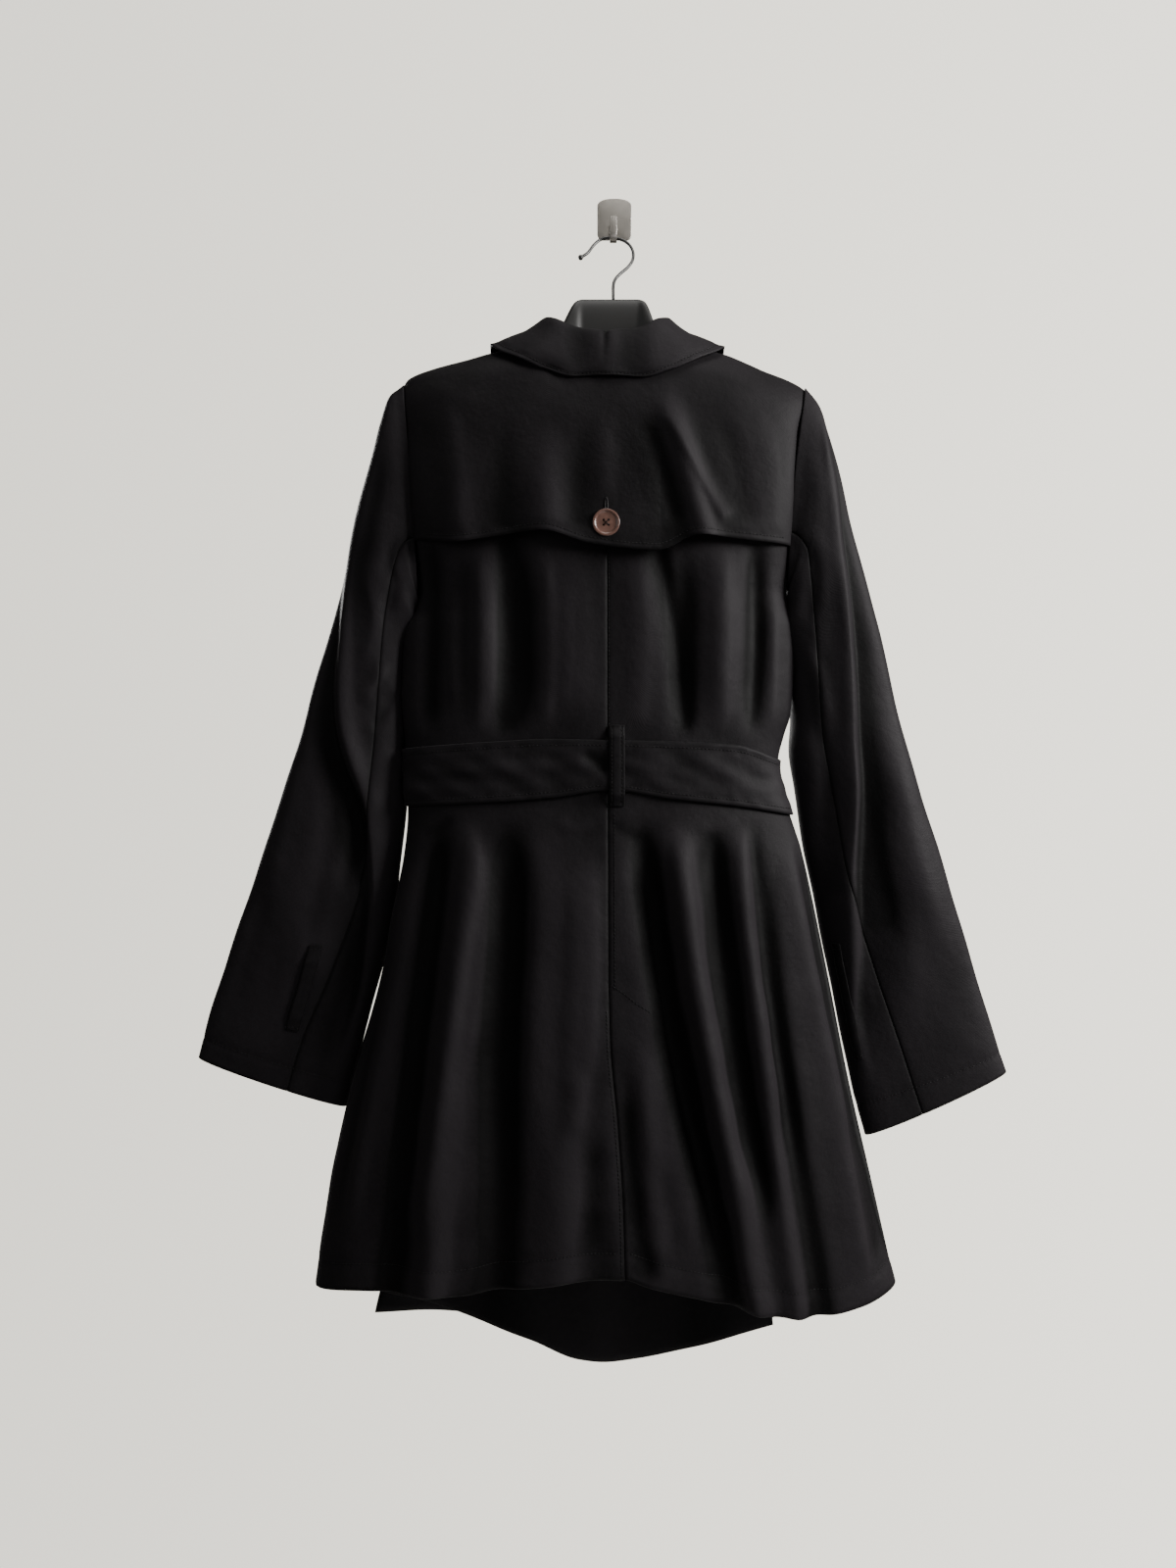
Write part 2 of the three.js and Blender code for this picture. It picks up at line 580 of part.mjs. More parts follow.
// The right panel's extension lies inside the left panel at the vent
const ventPlace = (a, b, lift) => {
  const drop = lerp(VENT.top, backHem(0) - 1, b);
  return backAt(backSeam(drop) + lerp(-VENT.width, VENT.cover, a), drop, lift);
};
add(
  'back_vent_extension',
  wall(
    (a, b) => ventPlace(a, b, -CLOTH - VENT.gap),
    (a, b) => ventPlace(a, b, -CLOTH - VENT.gap - LIGHT_CLOTH),
    5,
    9,
  ),
  shellCloth(),
);

// Storm flap over the shoulders, sewn in at neck, shoulders and armholes, with a free hem
const flapHem = curve(FLAP_HEM, 'x', 'drop');
const FLAP_ROWS = 7; // all but the last two lie on rows of the back
function flapDrop(b, top, hem) {
  const row = b * FLAP_ROWS;
  const onBack = (k) => rowDrop(k / BACK_ROWS, top, hem);
  const last = onBack(FLAP_ROWS - 2);
  return row <= FLAP_ROWS - 2 ? onBack(row) : lerp(last, hem, (row - FLAP_ROWS + 2) / 2);
}
const FLAP_COLUMNS = 30; // all but the outermost lie on columns of the back
const MIDDLE_TURN = 0.008;
function flapTurn(a) {
  const column = Math.min(Math.max(a * FLAP_COLUMNS, 0.45), FLAP_COLUMNS - 0.45);
  const t = column / (FLAP_COLUMNS / 2);
  return t < 1 ? lerp(-1, MIDDLE_TURN, t) : lerp(MIDDLE_TURN, 1, t - 1);
}
const flapPlace = (a, b, lift) => {
  const w = flapTurn(a);
  const share = shareOf(w);
  const top = ridge(share) + Math.max(backNeck(Math.abs(share)), 1);
  const hem = flapHem(middleAt(340) + halfAt(340) * share);
  const drop = flapDrop(b, top, hem);
  const x = middleAt(drop) + halfAt(drop) * share;
  const stand = FLAP_FLARE * b ** 3 + Math.max(foldHeight(FLAP_FOLDS, x, drop), 0) * ease(b * 1.6);
  return onSkin(w, drop - ridge(share), lift + stand * (1 - Math.abs(share) ** 6));
};
const flapFace = (a, b) => flapPlace(a, b, FLAP_REST);
add('storm_flap', wall(flapFace, (a, b) => flapPlace(a, b, FLAP_GAP), FLAP_COLUMNS, FLAP_ROWS), shellCloth());

// Fronts. The right one laps over the left one, and is raised over it and its lapel.
const RIGHT_OVER_LEFT = 1.9 + CLOTH;
const RIGHT_OVER_LAPEL = LAYER_GAP + LIGHT_CLOTH;
function frontLift(side, w, below) {
  if (side === 'left') return 0;
  const drop = ridge(shareOf(w)) + below;
  const x = middleAt(drop) + halfAt(drop) * shareOf(w);
  const overLapel = RIGHT_OVER_LAPEL * ease((400 - drop) / 50);
  return (RIGHT_OVER_LEFT + overLapel) * ease((rightLine(drop) - x) / 45) * ease(below / 45);
}
function frontOutside(side, x, drop, lift) {
  const w = turnAt(x, drop);
  const below = Math.max(drop - ridge(shareOf(w)), 0);
  return onSkin(w, -below, lift + frontLift(side, w, below));
}
function frontPanel(side) {
  const direction = side === 'left' ? -1 : 1;
  const edge = curve(side === 'left' ? LEFT_FRONT_EDGE : RIGHT_FRONT_EDGE, 'drop', 'x');
  const hemRows = side === 'left' ? LEFT_FRONT_HEM : RIGHT_FRONT_HEM;
  const hem = curve(hemRows, 'x', 'drop');
  const freeX = direction < 0 ? hemRows.at(-1).x : hemRows[0].x;
  const neckShare = shareOf(turnAt(edge(0), 146));
  const place = (a, b, lift) => {
    const topShare = lerp(direction, neckShare, a);
    const drop = rowDrop(b, ridge(topShare), hem(hemColumn(direction, freeX, a)));
    const edgeDrop = rowDrop(b, ridge(neckShare), hem(freeX));
    const w = lerp(direction, turnAt(edge(edgeDrop), edgeDrop), a);
    const below = Math.max(drop - ridge(shareOf(w)), 1e-3);
    return onSkin(w, -below, lift + frontLift(side, w, below));
  };
  return wall((a, b) => place(a, b, 0), (a, b) => place(a, b, -CLOTH), 17, 19);
}
add('front_left', frontPanel('left'), shellCloth());
add('front_right', frontPanel('right'), shellCloth());

// Lapels, turned back on the outside of the fronts
function lapel(side) {
  const direction = side === 'left' ? -1 : 1;
  const rows = LAPEL.map((row, i) => ({ ...row, t: i / (LAPEL.length - 1) }));
  const [rollX, rollDrop, edgeX, edgeDrop] = ['rollX', 'rollDrop', 'edgeX', 'edgeDrop'].map((name) =>
    curve(rows, 't', name),
  );
  const place = (a, b, lift) => {
    const x = NECK_MIDDLE + direction * lerp(rollX(b), edgeX(b), a);
    return frontOutside(side, x, lerp(rollDrop(b), edgeDrop(b), a), lift);
  };
  const top = LAYER_GAP + LIGHT_CLOTH;
  return wall((a, b) => place(a, b, top), (a, b) => place(a, b, LAYER_GAP), 6, 9);
}
add('lapel_left', lapel('left'), shellCloth());
add('lapel_right', lapel('right'), shellCloth());

// Collar stand and fall
const collarRows = COLLAR.map((row, i) => ({ ...row, c: i / (COLLAR.length - 1) }));
const collarColumns = ['neck', 'sewn', 'out', 'up', 'edge', 'hang', 'rest', 'belly', 'off'];
const [neckX, sewn, rollOut, rollUp, fallX, hang, fallRest, fallBelly, rollOff] = collarColumns.map(
  (name) => curve(collarRows, 'c', name),
);
function collarSection(c) {
  const side = c < 0 ? 'left' : 'right';
  const far = Math.abs(c);
  const raised = (share, below) => (below < 0 ? frontLift(side, turnOf(share), -below) : 0);
  const shareAt = (out, below) => {
    const drop = 160 + Math.abs(below) * 0.5;
    return (NECK_MIDDLE + Math.sign(c) * out - middleAt(drop)) / halfAt(drop);
  };
  const neckShare = shareAt(neckX(far), sewn(far));
  const edgeShare = shareAt(fallX(far), hang(far));
  const at = (share, below, lift) => onSkin(turnOf(share), below, raised(share, below) + lift);
  const seam = at(neckShare, sewn(far), 0);
  const edge = at(edgeShare, hang(far), fallRest(far));
  const halfway = (sewn(far) + hang(far)) / 2;
  const belly = at((neckShare + edgeShare) / 2, halfway, fallRest(far) + fallBelly(far));
  const out = edge.clone().sub(seam).setZ(0).normalize();
  const roll = at(neckShare, sewn(far), rollOff(far)).addScaledVector(out, rollOut(far));
  roll.z += rollUp(far);
  return { seam, edge, belly, out, roll };
}
const STAND_REACH = 0.8; // share of the collar that has a stand under it
const standPlace = (a, b, lift) => {
  const { seam, out, roll } = collarSection(lerp(-STAND_REACH, STAND_REACH, a));
  const foot = seam.clone();
  foot.z += 2.6;
  const head = roll.clone();
  head.z -= 4.5;
  return foot.lerp(head, b).addScaledVector(out, lift);
};
add(
  'collar_stand',
  wall((a, b) => standPlace(a, b, 0), (a, b) => standPlace(a, b, -LIGHT_CLOTH), 24, 2),
  shellCloth(),
);
const ROLL_OVER = [
  { out: -5.2, up: -6 },
  { out: -4.8, up: 0 },
  { out: -1.0, up: 2.6 },
  { out: 3.6, up: 0 },
];
function fallSurface(a, b) {
  const { edge, belly, out, roll } = collarSection(lerp(-1, 1, a));
  const corners = ROLL_OVER.map((step) => {
    const point = roll.clone().addScaledVector(out, step.out);
    point.z += step.up;
    return point;
  });
  corners.push(belly, edge);
  const path = new THREE.CatmullRomCurve3(corners, false, 'centripetal');
  return path.getPoint(b);
}
const fallPlace = (a, b, lift) => {
  const t = lerp(0.002, 0.998, a);
  const s = lerp(0.002, 0.998, b);
  return moved(fallSurface, t, s, lift, 0.002, 0.002);
};
add(
  'collar_fall',
  wall((a, b) => fallPlace(a, b, 0), (a, b) => fallPlace(a, b, -CLOTH), 26, 8),
  shellCloth(),
);

// Sleeves, each of a top and an under piece. turn runs round the sleeve in degrees: 0 at the
// outer edge, above 0 on the back, 180 at the inner edge.
function sleeve(side) {
  const rows = SLEEVES[side].map((row, i, all) => ({ ...row, t: i / (all.length - 1) }));
  const names = ['ox', 'od', 'ix', 'id', 'deep', 'half', 'seam', 'bow'];
  const at = Object.fromEntries(names.map((name) => [name, curve(rows, 't', name)]));
  const fold = curve(SLEEVE_FOLDS[side], 'along', 'across');
  const direction = side === 'left' ? -1 : 1;
  const surface = (turn, t) => {
    const angle = THREE.MathUtils.degToRad(turn);
    const across = (1 + Math.cos(angle)) / 2;
    const round = Math.sin(angle);
    const full = Math.sign(round) * Math.abs(round) ** 0.85 * at.half(t);
    const off = across - fold(t);
    const ridgeHeight = Math.exp(-((off / 0.1) ** 2)) - 1.6 * Math.exp(-(((off - 0.17) / 0.11) ** 2));
    const shown = ease((t - 0.08) / 0.12) * ease((0.95 - t) / 0.15) * Math.max(round, 0);
    const bow = direction * at.bow(t) * round * round;
    return new THREE.Vector3(
      lerp(at.ix(t), at.ox(t), across) - bow,
      -at.deep(t) - full - SLEEVE_FOLD_TALL * shown * ridgeHeight,
      -lerp(at.id(t), at.od(t), across),
    );
  };
  const place = (turn, t, lift) => moved(surface, turn, t, direction * lift, 0.5, 0.002);
  const gap = 0.25;
  const piece = (fromTurn, toTurn, columns) => {
    const spot = (a, b, lift) => {
      const seam = at.seam(b);
      return place(lerp(fromTurn(seam), toTurn(seam), a), b, lift);
    };
    return wall((a, b) => spot(a, b, 0), (a, b) => spot(a, b, -CLOTH), columns, 13);
  };
  const top = piece((seam) => -FRONT_SEAM_TURN, (seam) => seam - gap, 15);
  const under = piece((seam) => seam + gap, (seam) => 360 - FRONT_SEAM_TURN - gap, 7);
  return { top, under, place };
}
const sleeves = { left: sleeve('left'), right: sleeve('right') };
for (const side of ['left', 'right']) {
  add(`sleeve_top_${side}`, sleeves[side].top, shellCloth());
  add(`sleeve_under_${side}`, sleeves[side].under, shellCloth());
}

// Narrow carrier loops, sewn down at both ends and standing off between them
const loopStand = (b, height) => height * ease(Math.min(b, 1 - b) / 0.2);
for (const loop of SLEEVE_LOOPS) {
  const spot = (a, b, lift) => {
    const t = lerp(loop.from, loop.to, b);
    const height = LAYER_GAP + loopStand(b, 2.2);
    return sleeves[loop.side].place(loop.turn + lerp(-loop.half, loop.half, a), t, height + lift);
  };
  add(loop.name, wall((a, b) => spot(a, b, LIGHT_CLOTH), (a, b) => spot(a, b, 0), 2, 8), shellCloth());
}

// Belt: one run round the back from one side of the knot to the other, the knot and two ends
const beltTop = curve(BELT, 'x', 'top');
const beltFoot = curve(BELT, 'x', 'foot');
const BELT_REST = 0.9;
const BELT_FRONT_REST = BELT_REST + RIGHT_OVER_LEFT;
const beltPlace = (a, b, lift) => {
  const endW = turnAt(KNOT.x, 557);
  const gapW = 0.085;
  const round = lerp(endW - gapW, endW + gapW - 4, a);
  const isBack = round < -1 && round > -3;
  const w = isBack ? -2 - round : round < -3 ? round + 4 : round;
  const share = shareOf(w);
  const x = middleAt(557) + halfAt(557) * share;
  const drop = lerp(beltTop(x), beltFoot(x), b);
  const below = drop - ridge(share);
  const front = BELT_FRONT_REST * ease((1 - Math.abs(share)) / 0.12);
  const rest = isBack ? BELT_REST : Math.max(BELT_REST, front);
  return onSkin(w, isBack ? below : -below, rest + lift);
};
add('belt', wall((a, b) => beltPlace(a, b, BELT_THICK), (a, b) => beltPlace(a, b, 0), 56, 2), shellCloth());

function knot() {
  const rings = [];
  const stations = 8;
  for (let j = 0; j <= stations; j += 1) {
    const t = j / stations;
    const drop = lerp(KNOT.top, KNOT.foot, t);
    const swell = 0.62 + 0.38 * Math.sin(Math.PI * t) ** 0.7;
    const seat = frontOutside('right', KNOT.x, drop, BELT_REST).y;
    const ring = [];
    for (let i = 0; i < 12; i += 1) {
      const angle = (i / 12) * 2 * Math.PI;
      const flat = Math.sign(Math.sin(angle)) * Math.abs(Math.sin(angle)) ** 0.6;
      const x = KNOT.x + KNOT.half * swell * Math.cos(angle) * 0.86;
      ring.push(new THREE.Vector3(x, seat + KNOT.deep * swell * (0.5 + 0.5 * flat), -drop));
    }
    rings.push(ring);
  }
  return loft(rings);
}
add('belt_knot', knot(), shellCloth());
const TAIL_SLANT = 10; // difference in drop between the two corners of a belt end
for (const tail of TAILS) {
  const place = (a, b, lift) => {
    const drop = lerp(tail.top, tail.foot, b);
    const half = tail.half * (0.5 + 0.5 * ease(b * 4));
    const slant = (a - 0.5) * TAIL_SLANT * b;
    return frontOutside('right', lerp(tail.x0, tail.x1, b) + lerp(-half, half, a), drop - slant, lift);
  };
  add(
    tail.name,
    wall((a, b) => place(a, b, BELT_REST + BELT_THICK), (a, b) => place(a, b, BELT_REST), 2, 10),
    shellCloth(),
  );
}

// Belt loop at the centre back
const BACK_LOOP = { left: -6.6, right: 7.2, top: 513, foot: 588, over: BELT_REST + BELT_THICK + LAYER_GAP };
const loopPlace = (a, b, lift) => {
  const drop = lerp(BACK_LOOP.top, BACK_LOOP.foot, b);
  const height = LAYER_GAP + (BACK_LOOP.over - LAYER_GAP) * ease(Math.min(b, 1 - b) / 0.15);
  return backAt(lerp(BACK_LOOP.left, BACK_LOOP.right, a), drop, height + lift);
};
add(
  'belt_loop_back',
  wall((a, b) => loopPlace(a, b, LIGHT_CLOTH), (a, b) => loopPlace(a, b, 0), 2, 14),
  shellCloth(),
);

// Buttons
function buttonDisc(segments) {
  const profile = [
    [0, 0],
    [BUTTON_RADIUS - 1.2, 0],
    [BUTTON_RADIUS, 1.2],
    [BUTTON_RADIUS - 0.4, BUTTON_THICK - 0.5],
    [BUTTON_RADIUS - 1.8, BUTTON_THICK],
    [BUTTON_RADIUS - 3.6, BUTTON_THICK - 1],
    [0, BUTTON_THICK - 1.2],
  ];
  return new THREE.LatheGeometry(profile.map(([r, h]) => new THREE.Vector2(r, h)), segments);
}
function seatOn(mesh, point, outward, gap) {
  mesh.position.copy(point).addScaledVector(outward, gap);
  mesh.quaternion.setFromUnitVectors(new THREE.Vector3(0, 1, 0), outward);
}
const HOLE = { radius: 1.1, out: 2.3 };
function backButton() {
  let disc = toManifold(buttonDisc(28));
  for (const [sx, sz] of [[1, 1], [1, -1], [-1, 1], [-1, -1]]) {
    const hole = new THREE.CylinderGeometry(HOLE.radius, HOLE.radius, 12, 8);
    hole.translate(sx * HOLE.out, 0, sz * HOLE.out);
    disc = disc.subtract(toManifold(hole));
  }
  return fromManifold(disc);
}
const BACK_BUTTON = { column: 15.05, row: 6.26 }; // its place in the flap's columns and rows
const buttonSpot = (lift) =>
  flapPlace(BACK_BUTTON.column / FLAP_COLUMNS, BACK_BUTTON.row / FLAP_ROWS, FLAP_REST + lift);
const buttonOutward = buttonSpot(2).sub(buttonSpot(0)).normalize();
seatOn(add('back_button', backButton(), buttonPlastic()), buttonSpot(0), buttonOutward, 0.9);
BUTTON_ROWS.forEach(({ drop, gap }, row) => {
  BUTTON_COLUMNS.forEach((x, column) => {
    const face = frontOutside('right', x, drop, 0);
    const outward = frontOutside('right', x, drop, 2).sub(face).normalize();
    const name = `front_button_${row + 1}_${column === 0 ? 'left' : 'right'}`;
    seatOn(add(name, buttonDisc(10), buttonPlastic()), face, outward, gap);
  });
});

// Hanger body: flattened rings from one end to the other
function hangerRing(row, scale) {
  const ring = [];
  const middle = (row.top + row.foot) / 2;
  const tall = ((row.foot - row.top) / 2) * scale;
  for (let i = 0; i < 12; i += 1) {
    const angle = (i / 12) * 2 * Math.PI;
    const round = (value) => Math.sign(value) * Math.abs(value) ** 0.8;
    ring.push(
      new THREE.Vector3(
        row.x,
        -row.deep + row.half * scale * round(Math.cos(angle)),
        -middle + tall * round(Math.sin(angle)),
      ),
    );
  }
  return ring;
}
const hangerRings = HANGER.map((row) => hangerRing(row, 1));
const tips = [HANGER[0], HANGER.at(-1)].map((row, i) => ({ ...row, x: row.x + (i ? 5 : -5) }));
hangerRings.unshift(hangerRing(tips[0], 0.5));
hangerRings.push(hangerRing(tips[1], 0.5));
add('hanger_body', loft(hangerRings), hangerPlastic());

// Hanger hook: a bent wire with a small ball at its tip
const wirePoint = (row) =>
  new THREE.Vector3(row.x, -WIRE_DEEP - WIRE_LEAN * (row.drop - 22.9), -row.drop);
const wirePath = new THREE.CatmullRomCurve3(WIRE.map(wirePoint), false, 'centripetal');
const wireSection = new THREE.Shape();
for (let i = 0; i < 8; i += 1) {
  const angle = (i / 8) * 2 * Math.PI;
  const corner = [WIRE_RADIUS * Math.cos(angle), WIRE_RADIUS * Math.sin(angle)];
  if (i === 0) wireSection.moveTo(...corner);
  else wireSection.lineTo(...corner);
}
wireSection.closePath();
const wire = new THREE.ExtrudeGeometry(wireSection, { steps: 30, bevelEnabled: false, extrudePath: wirePath });
const ball = new THREE.SphereGeometry(2.6, 8, 6).translate(...wirePoint(WIRE[0]).toArray());
add('hanger_hook', fromManifold(toManifold(wire).add(toManifold(ball))), wireSteel());

// Wall hook: a plate with an arched top, and a strip bent forward and up from its foot
const PLATE = { half: 17.1, top: 19.5, foot: -22.3, arch: 7, corner: 6, thick: 1.5 };
const plateShape = new THREE.Shape();
plateShape.moveTo(-PLATE.half + PLATE.corner, PLATE.foot);
plateShape.lineTo(PLATE.half - PLATE.corner, PLATE.foot);
plateShape.quadraticCurveTo(PLATE.half, PLATE.foot, PLATE.half, PLATE.foot + PLATE.corner);
plateShape.lineTo(PLATE.half, PLATE.top - PLATE.arch);
plateShape.quadraticCurveTo(PLATE.half * 0.9, PLATE.top, 0, PLATE.top);
plateShape.quadraticCurveTo(-PLATE.half * 0.9, PLATE.top, -PLATE.half, PLATE.top - PLATE.arch);
plateShape.lineTo(-PLATE.half, PLATE.foot + PLATE.corner);
plateShape.quadraticCurveTo(-PLATE.half, PLATE.foot, -PLATE.half + PLATE.corner, PLATE.foot);
const plate = new THREE.ExtrudeGeometry(plateShape, { depth: PLATE.thick, bevelEnabled: false, curveSegments: 6 });
plate.rotateX(Math.PI / 2);
const STRIP = { centreY: -7.8, centreZ: -19.8, outer: 7.6, inner: 5.6, tip: -5, root: -8, x: -1.4 };
const stripShape = new THREE.Shape();
stripShape.moveTo(STRIP.centreY + STRIP.outer, STRIP.root);
stripShape.lineTo(STRIP.centreY + STRIP.inner, STRIP.root);
stripShape.absarc(STRIP.centreY, STRIP.centreZ, STRIP.inner, 0, Math.PI, true);
stripShape.lineTo(STRIP.centreY - STRIP.inner, STRIP.tip);
stripShape.lineTo(STRIP.centreY - STRIP.outer, STRIP.tip);
stripShape.absarc(STRIP.centreY, STRIP.centreZ, STRIP.outer, Math.PI, 2 * Math.PI, false);
stripShape.closePath();
const strip = new THREE.ExtrudeGeometry(stripShape, { depth: HOOK_WIDTH, bevelEnabled: false, curveSegments: 12 });
strip.applyMatrix4(
  new THREE.Matrix4().makeBasis(
    new THREE.Vector3(0, 1, 0),
    new THREE.Vector3(0, 0, 1),
    new THREE.Vector3(1, 0, 0),
  ),
);
strip.translate(STRIP.x - HOOK_WIDTH / 2, 0, 0);
add('wall_hook', fromManifold(toManifold(plate).add(toManifold(strip))), plateSteel());

export default coat;
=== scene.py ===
"""Visual model of a trench coat that hangs with its back outward on a plastic hanger.

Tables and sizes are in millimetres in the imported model's frame: the origin is the middle of
the wall plate's back face, the wall is the plane y = 0 and the coat's back faces -Y. A height
is given as a drop, the distance below the origin. Left and right are the wearer's, so left
is -X. Meshes are written in metres.
"""

import json
import logging
import math
import sys
from dataclasses import dataclass, field
from enum import Enum
from typing import Any, Callable, Sequence

import bmesh
import bpy
import numpy as np
from mathutils import Matrix, Vector

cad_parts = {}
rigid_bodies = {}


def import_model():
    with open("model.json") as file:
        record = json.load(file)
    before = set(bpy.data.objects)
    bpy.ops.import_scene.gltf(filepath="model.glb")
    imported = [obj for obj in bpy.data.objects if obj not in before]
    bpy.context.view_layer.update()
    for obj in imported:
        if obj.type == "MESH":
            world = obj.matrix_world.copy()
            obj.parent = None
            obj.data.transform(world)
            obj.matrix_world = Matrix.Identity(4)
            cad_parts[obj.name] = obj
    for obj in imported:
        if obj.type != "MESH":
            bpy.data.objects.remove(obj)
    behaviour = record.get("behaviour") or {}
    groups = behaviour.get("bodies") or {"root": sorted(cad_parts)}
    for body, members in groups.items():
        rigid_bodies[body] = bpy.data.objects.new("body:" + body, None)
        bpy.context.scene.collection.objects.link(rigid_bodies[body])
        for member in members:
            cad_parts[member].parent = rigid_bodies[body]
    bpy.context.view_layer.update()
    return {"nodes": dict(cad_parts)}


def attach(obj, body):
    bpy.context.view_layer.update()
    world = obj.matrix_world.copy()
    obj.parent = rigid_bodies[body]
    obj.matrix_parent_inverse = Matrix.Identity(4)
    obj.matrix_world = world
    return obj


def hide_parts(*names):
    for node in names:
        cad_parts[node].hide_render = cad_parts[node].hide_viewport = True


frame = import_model()

LOG = logging.getLogger("trench_coat")
Array = np.ndarray
Piece = bpy.types.Object
Socket = bpy.types.NodeSocket

# Lengths in millimetres, but for MM, which is one in metres, and SQUARENESS, a power.
MM = 0.001
CLOTH = 1.1
LIGHT_CLOTH = 0.9
SEAM_GAP = 0.3
LAYER_GAP = 0.6
SIDE_DEEP = 50.0
SHOULDER_ROUND = 34.0
SQUARENESS = 2.6
NECK_MIDDLE = -8.0
BELT_TOP = 525.0
HEM_LEVEL = 1045.0
BELT_FOOT = 592.0
BELT_THICK = 2.4
FLAP_REST = 2.4
FLAP_FLARE = 5.0
ARM_OPEN = 22.0

BODY = (
    (140, -202.5, 182.6, 71, 31), (190, -202.5, 182.6, 86, 27), (238, -195, 169.5, 92, 24),
    (285, -192.1, 165.2, 93, 23), (379, -188.2, 163.6, 92, 22), (398, -190.4, 165.8, 91.7, 22.2),
    (416, -200.5, 170.4, 91.3, 22.4), (440, -204, 171.2, 90.4, 23), (473, -205.2, 170, 89, 24),
    (500, -204.2, 168.2, 88.4, 25), (520, -203, 162, 88, 26), (552, -200.5, 155, 88, 27),
    (595, -199.5, 167, 91, 24), (615, -200.5, 173.6, 92.4, 22.4), (637, -203, 180, 94.2, 20),
    (661, -207.5, 185.5, 96, 18), (756, -226.3, 205, 100, 14), (850, -252.4, 223.5, 102, 11),
    (944, -273.1, 245, 104, 10), (1045, -288.2, 268, 106, 10),
)
RIDGE = (
    (-1.0, 188), (-0.97, 180.5), (-0.87, 173), (-0.67, 163), (-0.56, 157), (-0.3, 147), (0.0, 141),
    (0.3, 147), (0.58, 158), (0.71, 168), (0.78, 174), (0.9, 182.4), (0.97, 189), (1.0, 194),
)
BACK_NECK = ((0.0, 35), (0.1, 33), (0.2, 22), (0.27, 8), (0.3, 0))
BACK_HEM = (
    (-288, 1046), (-226, 1038), (-161, 1038), (-89, 1029), (-22, 1020), (7, 1020.5), (27, 1027), (81, 1040),
    (134, 1054), (190, 1060.5), (230, 1055), (268, 1043),
)
LEFT_FRONT_HEM = (
    (-288, 1046), (-236, 1064), (-153, 1091), (-85, 1118), (-36, 1140), (-10, 1143.5), (22, 1139),
    (100, 1119), (157, 1103.6),
)
RIGHT_FRONT_HEM = (
    (-236, 1088), (-153, 1092), (-85, 1115), (-36, 1136), (-10, 1140), (22, 1136), (100, 1116), (157, 1098),
    (210, 1072), (268, 1043),
)
LEFT_FRONT_EDGE = (
    (146, -67), (200, -25), (260, 28), (332, 92), (420, 98), (520, 92), (600, 95), (800, 120), (1000, 145),
    (1104, 157),
)
RIGHT_FRONT_EDGE = (
    (146, 47), (200, 8), (260, -45), (332, -109), (420, -115), (520, -118), (600, -125), (800, -165),
    (1000, -215), (1090, -236),
)
BACK_SEAM = ((170, -9), (480, -8.4), (750, -7.5), (802, -6.6), (883, 0.6), (955, 5.2), (1025, 7))
# Lengths in millimetres too, but for RIM_ROUND, a share of the cloth's thickness.
VENT_TOP = 742.0
VENT_WIDTH = 42.0
VENT_COVER = 9.0
VENT_GAP = 1.3
ARMHOLE_TOP = 188.0
ARMHOLE_LENGTH = 198.0
LAPEL_FOOT = 400.0
RIM_ROUND = 0.8
EDGE_REACH = 1.1
FOLD_STRETCH = 1050.0
FOLD_RISE = 90.0
FOLD_END = 60.0
LAPEL_FADE = 50.0
LIFT_REACH = 45.0
SEAM_FOOT = 1020.0
WAIST_WIDE = 9.0
FLAP_HEM = (
    (-186, 337), (-144, 342), (-70, 334), (-26, 346), (37, 352), (73, 338), (111, 340), (162, 342),
)
BELT = (
    (-203, 534.5, 588), (-117, 529, 584), (-63, 526.5, 580), (-7, 527.5, 573), (46, 528.5, 581),
    (106, 531, 588), (156, 545, 597),
)


class Side(Enum):
    """The wearer's two sides, with the sign of x that each lies on."""

    LEFT = -1
    RIGHT = 1

    @property
    def word(self) -> str:
        """The side's name as the nodes spell it."""
        return self.name.lower()


class Slot(Enum):
    """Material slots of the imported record."""

    CLOTH = "shell_cloth"
    BUTTON = "button"
    HANGER = "hanger_plastic"
    WIRE = "hanger_wire"
    PLATE = "hook_plate"


def ease(t: Any) -> Any:
    """Smooth step from 0 to 1 as t goes from 0 to 1."""
    t = np.clip(t, 0.0, 1.0)
    return t * t * (3 - 2 * t)


def lerp(a: Any, b: Any, t: Any) -> Any:
    """Value on the straight line from a to b."""
    return a + (b - a) * t


def rise(value: Any, start: float, over: float) -> Any:
    """Smooth step that begins at start and is done after over."""
    return ease((value - start) / over)


def between(value: Any, start: float, over: float, end: float, back: float) -> Any:
    """1 from start + over to end - back, and smoothly down to 0 at start and at end."""
    return rise(value, start, over) * ease((end - value) / back)


def powered(value: Any, power: float) -> Any:
    """Power of a value that keeps its sign."""
    return np.sign(value) * np.abs(value) ** power


def bell(value: Any, wide: float) -> Any:
    """Bell curve: 1 where the value is 0, nearly 0 beyond two widths."""
    return np.exp(-((value / wide) ** 2))


def unit(vectors: Array, least: float = 1e-9) -> Array:
    """Vectors of the last axis at length 1; those shorter than least stay short."""
    return vectors / np.maximum(np.linalg.norm(vectors, axis=-1, keepdims=True), least)


def line_on(point: Callable[[float], Array]) -> tuple:
    """Points and unit normals along a line, from its points at a lift off the face."""
    face = point(0.0)
    return face, unit(point(1.0) - face)


def wavy(value: Any, pitch: float, sway: float, sway_pitch: float) -> Any:
    """Uneven waves: a sine of one pitch that a slower one pushes to and fro."""
    return np.sin(value / pitch + sway * np.sin(value / sway_pitch))


